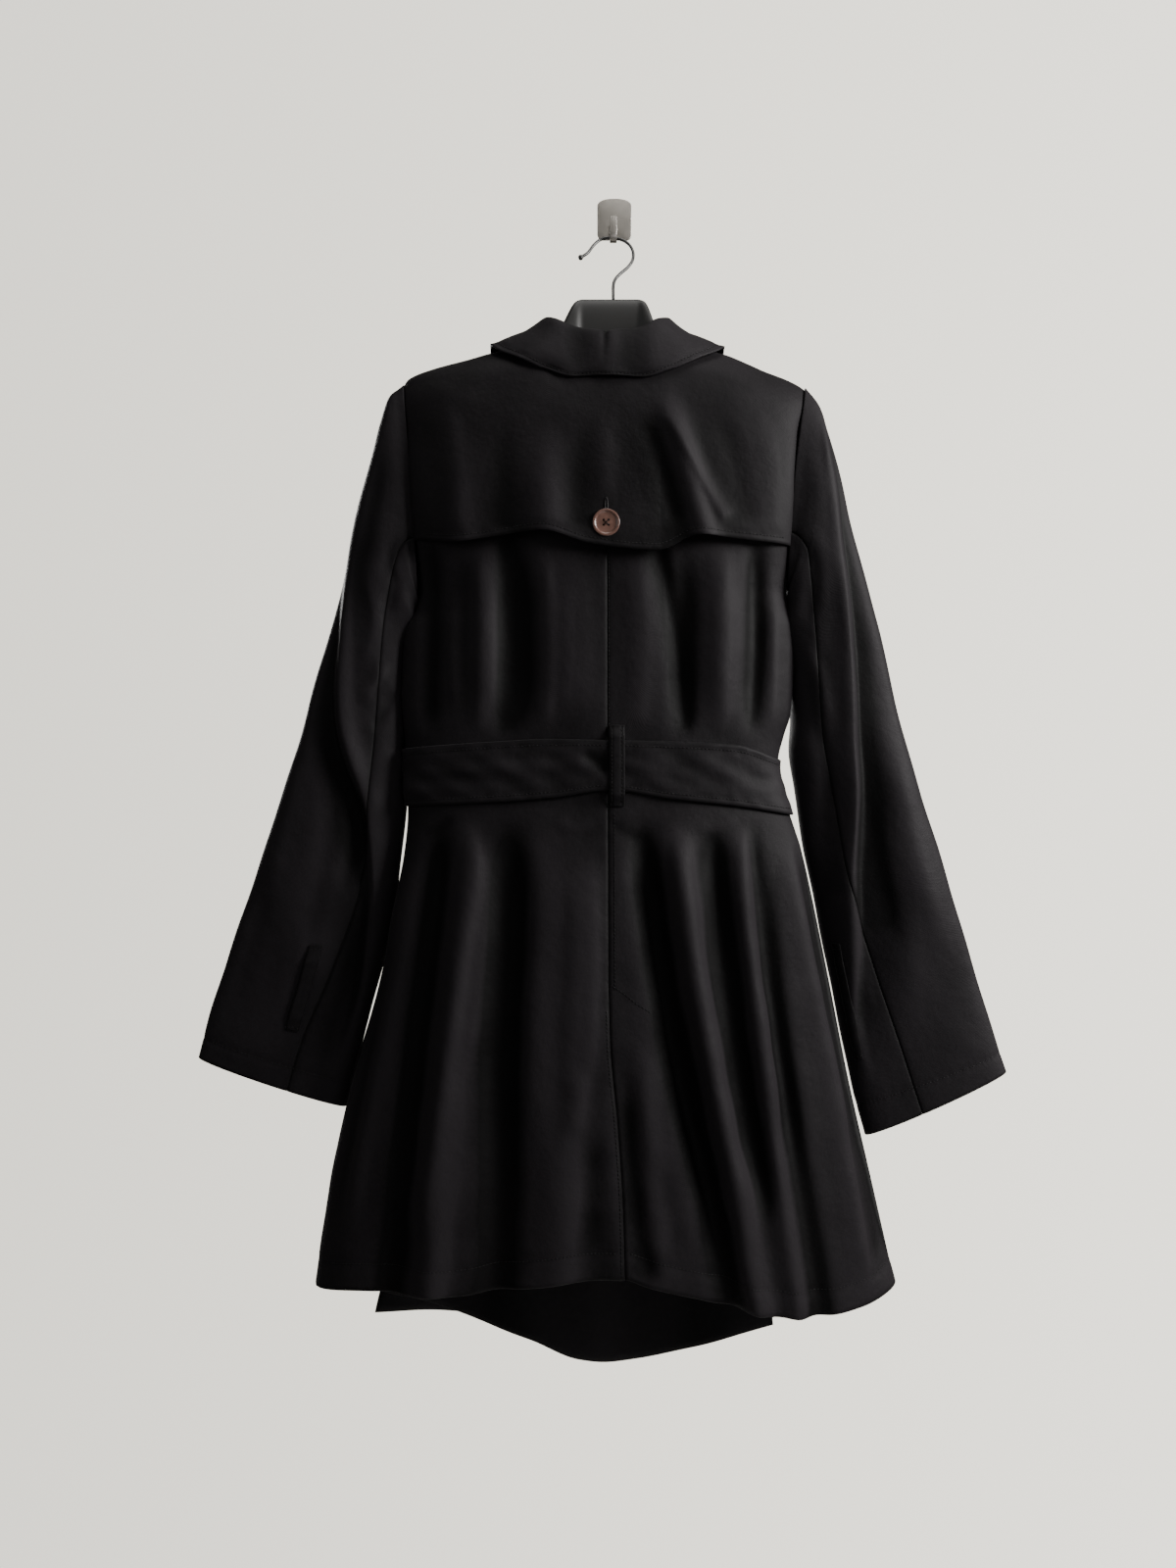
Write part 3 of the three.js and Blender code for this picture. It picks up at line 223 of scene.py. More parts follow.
@dataclass(frozen=True)
class Pucker:
    """Puckers of the cloth along a stitched row.

    Attributes:
        pitch, sway, sway_pitch: the waves, as wavy takes them.
        tall: height of the waves.
        sink: how deep the row lies in the cloth.
        wide: half width of the row's trough.
    """

    pitch: float
    sway: float
    sway_pitch: float
    tall: float
    sink: float
    wide: float

    def height(self, run: Array, off: Array) -> Array:
        """Height at places along the row and at a distance from it."""
        wave = wavy(run, self.pitch, self.sway, self.sway_pitch) * self.tall
        return (wave - self.sink) * bell(off, self.wide)


class Curve:
    """Smooth curve through the rows of a table, which never overshoots them."""

    def __init__(self, rows: Sequence[Sequence[float]], column: int = 1) -> None:
        """Fits the curve.

        Args:
            rows: table rows, sorted by their first column.
            column: index of the column that the curve returns.
        """
        self.at = np.array([row[0] for row in rows], float)
        self.to = np.array([row[column] for row in rows], float)
        rate = np.diff(self.to) / np.diff(self.at)
        before = np.concatenate((rate[:1], rate))
        after = np.concatenate((rate, rate[-1:]))
        same = before * after > 0
        total = np.where(same, before + after, 1.0)
        self.slope = np.where(same, 2 * before * after / total, 0.0)

    def __call__(self, value: Any) -> Array:
        """Returns the curve's value, held beyond its ends."""
        x = np.clip(value, self.at[0], self.at[-1])
        i = np.clip(np.searchsorted(self.at, x) - 1, 0, len(self.at) - 2)
        width = self.at[i + 1] - self.at[i]
        t = (x - self.at[i]) / width
        s = 1 - t
        start = self.to[i] * s * s * (1 + 2 * t) + self.slope[i] * width * t * s * s
        end = self.to[i + 1] * t * t * (3 - 2 * t) - self.slope[i + 1] * width * t * t * s
        return start + end


def smooth_path(points: Sequence[Sequence[float]], steps: int) -> Array:
    """Rounds a polyline.

    Args:
        points: the corners that it runs through.
        steps: how many pieces each stretch is cut into.

    Returns:
        The points of the rounded line.
    """
    p = np.array(points, float)
    ends = np.vstack((2 * p[:1] - p[1:2], p, 2 * p[-1:] - p[-2:-1]))
    t = np.linspace(0, 1, steps, endpoint=False)[:, None]
    out = []
    for a, b, c, d in zip(ends[:-3], ends[1:-2], ends[2:-1], ends[3:]):
        out.append(
            0.5 * (2 * b + (c - a) * t + (2 * a - 5 * b + 4 * c - d) * t**2 + (3 * b - a - 3 * c + d) * t**3)
        )
    return np.vstack(out + [p[-1:]])


@dataclass(frozen=True)
class Crease:
    """A soft ridge along a line on the cloth, or a trough where tall is below 0.

    Attributes:
        path: (x, drop) points that it runs through, from its top down.
        wide: half width.
        tall: height.
        lean: from -1 to 1; above 0 the side of higher x is the steeper one.
        fade: share of its length over which it rises, and over which it dies away.
    """

    path: tuple
    wide: float
    tall: float
    lean: float = 0.0
    fade: tuple = (0.3, 0.3)

    def height(self, x: Array, drop: Array) -> Array:
        """Height of the crease at each place."""
        line = smooth_path(self.path, 4)
        out = np.zeros(x.shape)
        reach = 4 * self.wide
        near = (
            (x > line[:, 0].min() - reach)
            & (x < line[:, 0].max() + reach)
            & (drop > line[:, 1].min() - reach)
            & (drop < line[:, 1].max() + reach)
        )
        if not near.any():
            return out
        px, pd = x[near], drop[near]
        best = np.full(px.shape, 1e9)
        side = np.zeros(px.shape)
        along = np.zeros(px.shape)
        steps = np.diff(line, axis=0)
        lengths = np.hypot(steps[:, 0], steps[:, 1])
        run = np.concatenate(([0.0], np.cumsum(lengths)))
        for (ax, ad), (dx, dd), length, start in zip(line[:-1], steps, lengths, run[:-1]):
            t = np.clip(((px - ax) * dx + (pd - ad) * dd) / length**2, 0, 1)
            ex, ed = px - ax - t * dx, pd - ad - t * dd
            gap = np.hypot(ex, ed)
            closer = gap < best
            best = np.where(closer, gap, best)
            side = np.where(closer, np.sign(ex * dd - ed * dx), side)
            along = np.where(closer, (start + t * length) / run[-1], along)
        wide = self.wide * (1 - 0.7 * self.lean * side)
        shown = ease(along / self.fade[0]) * ease((1 - along) / self.fade[1])
        out[near] = self.tall * shown * bell(best, wide)
        return out


def creases(*rows: tuple) -> tuple:
    """Creases from table rows."""
    return tuple(Crease(*row) for row in rows)


def relief_of(listed: Sequence[Crease], x: Array, drop: Array) -> Array:
    """Height of a list of creases together."""
    total = np.zeros(x.shape)
    for crease in listed:
        total = total + crease.height(x, drop)
    return total


class Ripple:
    """Small uneven waves in a cloth, the same on every run."""

    def __init__(self, seed: int, length: float, tall: float, count: int = 16) -> None:
        """Draws the waves.

        Args:
            seed: seed of the random draws.
            length: mean wave length.
            tall: mean height of the sum.
            count: number of waves that are added up.
        """
        draw = np.random.default_rng(seed)
        way = draw.normal(size=(count, 3)) * (1.0, 1.0, 0.55)
        way /= np.linalg.norm(way, axis=1)[:, None]
        self.wave = way * (2 * math.pi / (length * draw.uniform(0.6, 1.7, (count, 1))))
        self.phase = draw.uniform(0, 2 * math.pi, count)
        self.tall = tall * math.sqrt(2 / count)

    def __call__(self, points: Array) -> Array:
        """Height of the waves at points of the last axis."""
        out = np.zeros(points.shape[:-1])
        for wave, phase in zip(self.wave, self.phase):
            out += np.sin(points @ wave + phase)
        return out * self.tall


def normals_of(surface: Callable[[Array, Array], Array], u: Array, v: Array, du: float, dv: float) -> Array:
    """Unit normals of a surface, from steps of its two parameters."""
    along_u = surface(u + du, v) - surface(u - du, v)
    along_v = surface(u, v + dv) - surface(u, v - dv)
    return unit(np.cross(along_v, along_u), 1e-12)


def wide_folds(folds: Sequence[Sequence[float]], x: Array, drop: Array) -> Array:
    """Height of the main folds: top, foot, x at the top, halfway and at the foot, half width, height."""
    total = np.zeros(x.shape)
    for top, foot, x0, x1, x2, wide, tall in folds:
        t = np.clip((drop - top) / (min(foot, FOLD_STRETCH) - top), 0, 1)
        line = lerp(lerp(x0, x1, t), lerp(x1, x2, t), t)
        fade = between(drop, top, FOLD_RISE, foot, FOLD_END)
        total = total + tall * fade * bell(x - line, wide)
    return total


BACK_FOLDS = (
    (590, 1300, -140, -152, -176, 17, 8), (590, 1300, -97, -104, -112, 17, -8),
    (590, 1300, -164, -184, -212, 13, -5), (600, 1300, -46, -50, -56, 26, 6),
    (590, 1300, 22, 52, 108, 13, -9), (590, 1300, 53, 86, 128, 15, 8), (590, 980, 88, 104, 142, 12, -7),
    (600, 1300, 114, 136, 168, 13, 7), (620, 1300, 128, 148, 186, 12, -7),
    (330, 525, -120, -122, -118, 14, 5), (330, 525, -92, -92, -88, 14, -5),
    (330, 525, -46, -44, -42, 22, 4), (330, 525, 60, 63, 62, 11, -5), (330, 525, 96, 98, 94, 16, 5),
    (330, 525, 132, 130, 122, 11, -5),
)
FRONT_FOLDS = (
    (590, 1300, -130, -150, -185, 30, 3.5), (590, 1300, -85, -92, -105, 28, -4),
    (600, 1300, -20, -12, -6, 32, 3), (590, 1300, 50, 68, 92, 28, -4), (590, 1300, 100, 130, 170, 30, 3.5),
)
FLAP_FOLDS = (
    (175, 420, 40, 66, 104, 13, 7), (230, 420, -70, -64, -58, 22, 4), (230, 420, -140, -142, -144, 14, 3),
)

BACK_CREASES = creases(
    (((-175, 326), (-173, 431), (-176, 524)), 10, -3.8, 0.2, (0.2, 0.15)),
    (((-150, 372), (-152, 440), (-148, 520)), 7, 1.2, -0.2),
    (((-128, 342), (-127, 431), (-130, 522)), 9, 2.4, 0.3, (0.2, 0.15)),
    (((-104, 322), (-102, 440), (-106, 530)), 14, -4.8, -0.3, (0.15, 0.12)),
    (((-66, 344), (-62, 440), (-66, 522)), 9, 1.8, 0.4, (0.2, 0.15)),
    (((-41, 370), (-37, 431), (-41, 522)), 7, -0.6),
    (((19, 350), (24, 440), (18, 523)), 14, 2.2, 0.2, (0.2, 0.15)),
    (((34, 326), (50, 400), (60, 460), (66, 528)), 10, -4.4, 0.4, (0.15, 0.12)),
    (((99, 344), (103, 431), (97, 524)), 11, 2.4, 0.4, (0.2, 0.15)),
    (((130, 328), (132, 440), (127, 528)), 9, -4.2, -0.2, (0.2, 0.15)),
    (((150, 372), (150, 431), (148, 528)), 5.5, 1.2),
    (((-142, 596), (-132, 645), (-144, 730), (-158, 825), (-174, 940), (-183, 1010)),
     11.2, 4.3, 0.3, (0.12, 0.2)),
    (((-164, 596), (-174, 703), (-189, 802), (-203, 907), (-210, 990)), 8.8, -3.2, -0.3, (0.15, 0.3)),
    (((-118, 600), (-122, 690), (-130, 780), (-140, 860)), 8.8, 1.9, 0.3),
    (((-98, 600), (-100, 703), (-106, 793), (-108, 910), (-112, 1000)), 13.8, -3.2, 0.2, (0.12, 0.3)),
    (((-76, 604), (-74, 690), (-80, 800), (-84, 900)), 10, 2, -0.3),
    (((-50, 600), (-50, 700), (-54, 800), (-60, 940)), 11.2, -2.2, 0.2),
    (((-24, 604), (-22, 700), (-24, 790), (-30, 880)), 10, 2, 0.3),
    (((-34, 825), (-37, 865), (-40, 894)), 8.8, 2),
    (((-20, 880), (-24, 950), (-28, 1000)), 11.2, -1.9),
    (((22, 600), (36, 727), (56, 841), (82, 923), (104, 1000)), 10, -4.3, 0.35, (0.12, 0.2)),
    (((40, 600), (48, 690), (62, 780), (76, 850)), 7.5, 1.6, 0.3),
    (((53, 600), (64, 712), (82, 809), (98, 883), (112, 940), (124, 1010)), 11.2, 4.6, -0.3, (0.12, 0.2)),
    (((72, 606), (80, 700), (92, 780)), 7.5, -1.9),
    (((88, 600), (94, 694), (98, 776), (118, 891), (138, 980)), 10, -4.1, 0.3, (0.12, 0.3)),
    (((116, 600), (127, 703), (138, 809), (154, 910)), 10, 4.1, 0.3, (0.12, 0.3)),
    (((128, 600), (130, 690), (148, 800), (160, 875), (170, 960)), 8.8, -3.8, 0.2, (0.12, 0.3)),
    (((30, 900), (44, 950), (60, 1010)), 11.2, -2.2, 0.2),
    (((10, 800), (13, 900), (20, 970), (32, 1030)), 11.2, -4.5, 0.3, (0.35, 0.1)),
    (((20, 780), (24, 850), (36, 930), (50, 1000)), 12.5, 2.4, 0.2),
    (((160, 610), (187, 746), (208, 846), (216, 913), (228, 986), (234, 1040)), 8.8, 4.2, 0.6, (0.15, 0.1)),
    (((174, 620), (199, 746), (221, 846), (236, 913), (249, 986), (254, 1040)), 10, -5, 0.1, (0.2, 0.1)),
    (((-186, 610), (-205, 720), (-226, 830), (-244, 930), (-256, 1010)), 11.2, 2.7, -0.2, (0.2, 0.2)),
    (((-206, 690), (-228, 800), (-250, 900), (-266, 1000)), 8.8, -2.4, 0.2),
    (((-8, 596), (6, 612), (30, 622)), 5, -1.0),
    (((-60, 598), (-40, 608), (-16, 604)), 5, 0.9),
    (((118, 598), (90, 610), (70, 606)), 5, 0.9),
    (((-150, 598), (-170, 612), (-188, 616)), 5, -1.2),
)
FLAP_CREASES = creases(
    (((32, 206), (52, 242), (68, 269), (100, 326)), 6, 2.4, -0.4, (0.35, 0.05)),
    (((22, 220), (40, 270), (56, 330)), 8, -2.0, 0.2, (0.3, 0.1)),
    (((84, 214), (108, 262), (120, 330)), 12, -1.6, 0.0, (0.4, 0.1)),
    (((132, 214), (146, 262), (150, 336)), 10, 1.5, 0.2, (0.4, 0.1)),
    (((-28, 214), (-34, 270), (-38, 338)), 12, -1.4, 0.0, (0.4, 0.1)),
    (((-63, 226), (-64, 280), (-66, 334)), 14, 1.4, 0.2, (0.4, 0.1)),
    (((-104, 220), (-106, 280), (-108, 338)), 12, -1.2, 0.0, (0.4, 0.1)),
    (((-160, 206), (-150, 250), (-146, 336)), 12, 1.6, 0.3, (0.3, 0.1)),
    (((-180, 190), (-150, 206), (-112, 214)), 9, 0.9, 0.0, (0.4, 0.4)),
    (((150, 196), (120, 208), (92, 210)), 9, 0.9, 0.0, (0.4, 0.4)),
    (((-9, 214), (-10, 260), (-10, 314)), 9, 1.0, 0.0, (0.5, 0.2)),
)
FRONT_CREASES = creases(
    (((-120, 220), (-128, 300), (-120, 380)), 14, 1.6),
    (((110, 220), (118, 300), (112, 380)), 14, 1.6),
    (((-60, 380), (-54, 450), (-60, 518)), 11, 1.8, 0.3),
    (((-30, 400), (-26, 460), (-28, 520)), 9, -1.6),
    (((20, 390), (26, 450), (20, 520)), 11, 1.7, -0.3),
    (((110, 390), (112, 450), (106, 520)), 9, -1.4),
    (((-150, 400), (-148, 460), (-152, 520)), 9, 1.6),
    (((-150, 598), (-168, 720), (-190, 860), (-208, 1000)), 12, 2.6, 0.3, (0.15, 0.3)),
    (((-100, 598), (-108, 720), (-120, 860), (-132, 1010)), 12, -2.2, 0.2, (0.15, 0.3)),
    (((-50, 600), (-48, 720), (-44, 880), (-40, 1040)), 13, 1.8, 0.2, (0.15, 0.3)),
    (((10, 600), (18, 740), (26, 900), (30, 1040)), 12, -1.6, 0.2, (0.15, 0.3)),
    (((60, 598), (80, 730), (98, 880), (112, 1030)), 12, 2.2, 0.3, (0.15, 0.3)),
    (((110, 598), (132, 720), (156, 860), (178, 1000)), 11, -2.4, 0.2, (0.15, 0.3)),
)


class BodyForm:
    """The coat's outer skin, by its turn w from the left (-1) to the right (1) side seam and by
    the distance below the shoulder ridge, above 0 on the back and below 0 on the front."""

    def __init__(self) -> None:
        """Fits the curves of the body's tables."""
        self.left, self.right, self.back, self.front = (Curve(BODY, k) for k in (1, 2, 3, 4))
        self.ridge = Curve(RIDGE)

    def middle(self, drop: Any) -> Array:
        """x of the body's middle at a drop."""
        return (self.left(drop) + self.right(drop)) / 2

    def half(self, drop: Any) -> Array:
        """Half of the body's width at a drop."""
        return (self.right(drop) - self.left(drop)) / 2

    @staticmethod
    def share(w: Any) -> Array:
        """Share of the half width at a turn."""
        return np.sin(np.asarray(w) * math.pi / 2)

    @staticmethod
    def turn(share: Any) -> Array:
        """Turn at a share of the half width."""
        return np.arcsin(np.clip(share, -1, 1)) * 2 / math.pi

    def turn_at(self, x: Any, drop: Any) -> Array:
        """Turn of the skin at a place seen from behind or in front."""
        return self.turn((x - self.middle(drop)) / self.half(drop))

    def skin(self, w: Array, below: Array) -> Array:
        """Points of the skin.

        Args:
            w: turns.
            below: distances below the shoulder ridge, with their sign.

        Returns:
            Points, with x, y and z on the last axis.
        """
        share = self.share(w)
        x, drop = self.place(w, below)
        bulge = np.sqrt(np.maximum(1 - np.abs(share) ** SQUARENESS, 0))
        rolled = np.sqrt(1 - (1 - np.minimum(np.abs(below) / SHOULDER_ROUND, 1)) ** 2)
        is_back = below >= 0
        deep = np.where(is_back, self.back(drop) - SIDE_DEEP, SIDE_DEEP - self.front(drop))
        armhole = ARM_OPEN * np.sin(math.pi * np.clip((drop - ARMHOLE_TOP) / ARMHOLE_LENGTH, 0, 1))
        opened = np.minimum(armhole, deep)
        fold = np.where(is_back, wide_folds(BACK_FOLDS, x, drop), wide_folds(FRONT_FOLDS, x, drop))
        reach = SEAM_GAP + (opened + (deep - opened) * bulge + fold * np.sqrt(bulge)) * rolled
        return np.stack((x, -SIDE_DEEP + np.where(is_back, -reach, reach), -drop), axis=-1)

    def on_skin(self, w: Array, below: Array, lift: Any) -> Array:
        """Points lifted off the skin along its normal."""
        w, below = np.broadcast_arrays(np.asarray(w, float), np.asarray(below, float))
        lift = np.broadcast_to(np.asarray(lift, float), w.shape)
        return self.skin(w, below) + normals_of(self.skin, w, below, 0.004, 0.5) * lift[..., None]

    def place(self, w: Array, below: Array) -> tuple:
        """x and drop of a place on the skin."""
        share = self.share(w)
        drop = self.ridge(share) + np.abs(below)
        return self.middle(drop) + self.half(drop) * share, drop


FORM = BodyForm()
UPPER_SHARE = 0.42
BELT_SHARE = 0.16


def hem_column(sign: int, x: Any, a: Array) -> Array:
    """Where a panel's column meets the hem.

    Args:
        sign: -1 or 1, the side seam that the panel starts from.
        x: the panel's other edge at the hem.
        a: share of the way across the panel.

    Returns:
        Places across at the hem.
    """
    w = lerp(float(sign), FORM.turn_at(np.asarray(x, float), HEM_LEVEL), a)
    return FORM.middle(HEM_LEVEL) + FORM.half(HEM_LEVEL) * FORM.share(w)


def row_drop(b: Array, top: Array, hem: Array) -> Array:
    """Drop of a body panel's row, closer together under the shoulder."""
    upper = lerp(top, BELT_TOP, (np.minimum(b, UPPER_SHARE) / UPPER_SHARE) ** 1.8)
    waist = lerp(BELT_TOP, BELT_FOOT, (b - UPPER_SHARE) / BELT_SHARE)
    skirt = lerp(BELT_FOOT, hem, (b - UPPER_SHARE - BELT_SHARE) / (1 - UPPER_SHARE - BELT_SHARE))
    return np.where(b <= UPPER_SHARE, upper, np.where(b <= UPPER_SHARE + BELT_SHARE, waist, skirt))


RIGHT_OVER_LEFT = 3.7
RIGHT_OVER_LAPEL = LAYER_GAP + 1.6


def front_lift(is_right: Any, w: Array, below: Array) -> Array:
    """How far the right front stands over the left one and its lapel.

    Args:
        is_right: whether a place lies on the right front.
        w: turns.
        below: distances below the shoulder ridge, above 0 here.

    Returns:
        Heights; 0 on the left front.
    """
    x, drop = FORM.place(w, below)
    over_lapel = RIGHT_OVER_LAPEL * ease((LAPEL_FOOT - drop) / LAPEL_FADE)
    full = RIGHT_OVER_LEFT + over_lapel
    lift = full * ease((FORM.right(drop) - x) / LIFT_REACH) * ease(below / LIFT_REACH)
    return np.where(is_right, lift, 0.0)


def outline_of(rows: int, columns: int) -> Array:
    """Indices of a grid's border, once round."""
    index = np.arange(rows * columns).reshape(rows, columns)
    return np.concatenate((index[0, :-1], index[:-1, -1], index[-1, :0:-1], index[:0:-1, 0]))


def quads_of(rows: int, columns: int) -> Array:
    """Faces of a grid of points."""
    index = np.arange(rows * columns).reshape(rows, columns)
    corners = (index[:-1, :-1], index[:-1, 1:], index[1:, 1:], index[1:, :-1])
    return np.stack([corner.ravel() for corner in corners], axis=1)


def tube_faces(rings: int, sides: int) -> Array:
    """Faces between rings of points, without the ends."""
    index = np.arange(rings * sides).reshape(rings, sides)
    ahead = np.roll(index, -1, axis=1)
    return np.stack((index[:-1], ahead[:-1], ahead[1:], index[1:]), -1).reshape(-1, 4)


def spokes(across: Array, up: Array, sides: int) -> Array:
    """Unit circle of points round each place of a line."""
    angle = np.arange(sides) * 2 * math.pi / sides
    return across[:, None] * np.cos(angle)[None, :, None] + up[:, None] * np.sin(angle)[None, :, None]


def mesh_object(name: str, points: Array, faces: Array) -> Piece:
    """Makes an object at the origin from points in millimetres.

    Args:
        name: name of the piece.
        points: its vertices.
        faces: rows of vertex indices, all of one length.

    Returns:
        The new object, linked to the scene, smooth all over.
    """
    mesh = bpy.data.meshes.new(name)
    mesh.from_pydata((points * MM).tolist(), [], faces.tolist())
    mesh.shade_smooth()
    mesh.update()
    piece = bpy.data.objects.new(name, mesh)
    bpy.context.scene.collection.objects.link(piece)
    return piece


def select_only(piece: Piece) -> None:
    """Selects one object and makes it active."""
    for other in list(bpy.context.selected_objects):
        other.select_set(False)
    piece.select_set(True)
    bpy.context.view_layer.objects.active = piece


def blurred(values: Array, sigma: float, axis: int) -> Array:
    """Smooths a grid of points along one of its directions.

    Args:
        values: the grid.
        sigma: reach in grid steps.
        axis: 0 or 1.

    Returns:
        The smoothed grid.
    """
    reach = int(min(3 * sigma, values.shape[axis] - 1))
    kernel = np.exp(-0.5 * (np.arange(-reach, reach + 1) / sigma) ** 2)
    pads = [(reach, reach) if k == axis else (0, 0) for k in range(3)]
    padded = np.pad(values, pads, mode="reflect", reflect_type="odd")
    return np.apply_along_axis(lambda line: np.convolve(line, kernel / kernel.sum(), "valid"), axis, padded)


def fold_of(face: Array, lining: Array, wide: float = 20.0) -> Array:
    """How far each point of a sheet stands out of the sheet's smoothed form; the cloth's material paints
    shade in the valleys and light on the ridges from it.

    Args:
        face: grid of points of its outer side.
        lining: the same grid on its inner side.
        wide: reach of the smoothing in millimetres.

    Returns:
        Millimetres, above 0 on ridges and below 0 in valleys.
    """
    step = np.median(np.linalg.norm(np.diff(face, axis=1), axis=2))
    soft = blurred(face, max(min(wide / max(step, 1e-3), face.shape[1] / 5), 1.0), 1)
    return ((face - soft) * unit(face - lining)).sum(axis=2)


def cloth_wall(name: str, face: Array, lining: Array) -> Piece:
    """A closed sheet of cloth with a rounded rim.

    Args:
        name: name of the piece.
        face: grid of points of its outer side.
        lining: the same grid on its inner side.

    Returns:
        The piece, with a UV map in metres along the cloth, an "edge" attribute that is 1 at the
        sheet's rim and falls to 0 a little way in, and a "fold" attribute from fold_of.
    """
    rows, columns = face.shape[:2]
    count = rows * columns
    ring = outline_of(rows, columns)
    inner = np.clip(np.stack(np.divmod(ring, columns), 1), (1, 1), (rows - 2, columns - 2))
    outer_edge = face.reshape(-1, 3)[ring]
    inner_edge = lining.reshape(-1, 3)[ring]
    out = unit(outer_edge - face[inner[:, 0], inner[:, 1]])
    half = np.linalg.norm(outer_edge - inner_edge, axis=1, keepdims=True) / 2
    rim = (outer_edge + inner_edge) / 2 + out * half * RIM_ROUND
    points = np.vstack((face.reshape(-1, 3), lining.reshape(-1, 3), rim))
    quads = quads_of(rows, columns)
    step = np.arange(len(ring))
    ahead = np.roll(step, -1)
    faces = np.vstack(
        (
            quads,
            quads[:, ::-1] + count,
            np.stack((ring, 2 * count + step, 2 * count + ahead, ring[ahead]), 1),
            np.stack((2 * count + step, count + ring, count + ring[ahead], 2 * count + ahead), 1),
        )
    )
    a, b, c, d = (points[faces[:, k]] for k in range(4))
    volume = np.einsum("ij,ij->i", a, np.cross(b, c)).sum() + np.einsum("ij,ij->i", a, np.cross(c, d)).sum()
    if volume < 0:
        faces = faces[:, ::-1]
    piece = mesh_object(name, points, faces)
    across = np.pad(np.cumsum(np.linalg.norm(np.diff(face, axis=1), axis=2), axis=1), ((0, 0), (1, 0)))
    down = np.pad(np.cumsum(np.linalg.norm(np.diff(face, axis=0), axis=2), axis=0), ((1, 0), (0, 0)))
    border = np.minimum(np.minimum(across, across[:, -1:] - across), np.minimum(down, down[-1:] - down))
    near = bell(border.ravel(), EDGE_REACH)
    # fold is the mask of the cloth's painted shade in valleys and painted light on ridges; edge marks the
    # rims, which get painted shade and a little wear.
    fold = fold_of(face, lining).ravel()
    flat = np.stack((across.ravel(), down.ravel()), 1)
    uv = np.vstack((flat, flat, flat[ring])) * MM
    mesh = piece.data
    for word, inside, at_rim in (("edge", near, np.ones(len(ring))), ("fold", fold, fold[ring])):
        values = np.concatenate((inside, inside, at_rim)).astype(np.float32)
        mesh.attributes.new(word, "FLOAT", "POINT").data.foreach_set("value", values)
    loops = np.zeros(len(mesh.loops), np.int32)
    mesh.loops.foreach_get("vertex_index", loops)
    mesh.uv_layers.new(name="cloth").data.foreach_set("uv", uv[loops].ravel().astype(np.float32))
    return piece


def grid(columns: int, rows: int) -> tuple:
    """Even parameters a across and b down of a grid, from 0 to 1."""
    b, a = np.meshgrid(np.linspace(0, 1, rows + 1), np.linspace(0, 1, columns + 1), indexing="ij")
    return a, b


class Maths:
    """A shader socket that can be written in expressions."""

    def __init__(self, shader: "Shader", socket: Socket) -> None:
        """Wraps an output socket of the shader's tree."""
        self.shader = shader
        self.socket = socket

    def apply(self, operation: str, *values: Any) -> "Maths":
        """Adds a Math node on the values."""
        node = self.shader.node("ShaderNodeMath", {"operation": operation}, dict(enumerate(values)))
        return Maths(self.shader, node.outputs[0])

    def __add__(self, other: Any) -> "Maths":
        """Sum."""
        return self.apply("ADD", self, other)

    def __sub__(self, other: Any) -> "Maths":
        """Difference."""
        return self.apply("SUBTRACT", self, other)

    def __mul__(self, other: Any) -> "Maths":
        """Product."""
        return self.apply("MULTIPLY", self, other)

    def sine(self) -> "Maths":
        """Sine."""
        return self.apply("SINE", self)


class Shader:
    """One node material on a Principled surface."""

    def __init__(self, name: str, **constants: Any) -> None:
        """Makes the material.

        Args:
            name: name of the material.
            constants: values of the surface's sockets, with spaces written as underscores.
        """
        self.material = bpy.data.materials.new(name)
        self.material.use_nodes = True
        self.tree = self.material.node_tree
        self.surface = self.tree.nodes["Principled BSDF"]
        for key, value in constants.items():
            self.surface.inputs[key.replace("_", " ")].default_value = value

    def node(self, kind: str, settings: dict, inputs: dict) -> bpy.types.Node:
        """Adds a node.

        Args:
            kind: the node's type.
            settings: its properties.
            inputs: socket name or index to a value or a socket.

        Returns:
            The new node.
        """
        node = self.tree.nodes.new(kind)
        for key, value in settings.items():
            setattr(node, key, value)
        for key, value in inputs.items():
            source = value.socket if isinstance(value, Maths) else value
            if isinstance(source, Socket):
                self.tree.links.new(source, node.inputs[key])
            else:
                node.inputs[key].default_value = source
        return node

    def noise(self, vector: Any, scale: float, detail: float = 3.0, roughness: float = 0.55) -> Maths:
        """Noise from 0 to 1."""
        inputs = {"Vector": vector, "Scale": scale, "Detail": detail, "Roughness": roughness}
        return Maths(self, self.node("ShaderNodeTexNoise", {}, inputs).outputs[0])

    def mix(self, factor: Any, low: Sequence[float], high: Sequence[float]) -> Socket:
        """Mixes two colours."""
        inputs = {0: factor, 6: (*low, 1), 7: (*high, 1)}
        return self.node("ShaderNodeMix", {"data_type": "RGBA"}, inputs).outputs[2]

    def bump(self, height: Maths, distance: float, strength: float, under: Any = None) -> Socket:
        """Bump from a height, on top of another normal if one is given."""
        inputs = {"Height": height, "Distance": distance, "Strength": strength}
        if under is not None:
            inputs["Normal"] = under
        return self.node("ShaderNodeBump", {}, inputs).outputs[0]

    def attribute(self, name: str) -> Maths:
        """A number that the mesh carries at its points."""
        return Maths(self, self.node("ShaderNodeAttribute", {"attribute_name": name}, {}).outputs["Fac"])

    def objects(self) -> Socket:
        """Object coordinates."""
        return self.node("ShaderNodeTexCoord", {}, {}).outputs["Object"]

    def drive(self, **sockets: Any) -> bpy.types.Material:
        """Links sockets to the surface and returns the material."""
        for key, value in sockets.items():
            source = value.socket if isinstance(value, Maths) else value
            self.tree.links.new(source, self.surface.inputs[key.replace("_", " ")])
        return self.material


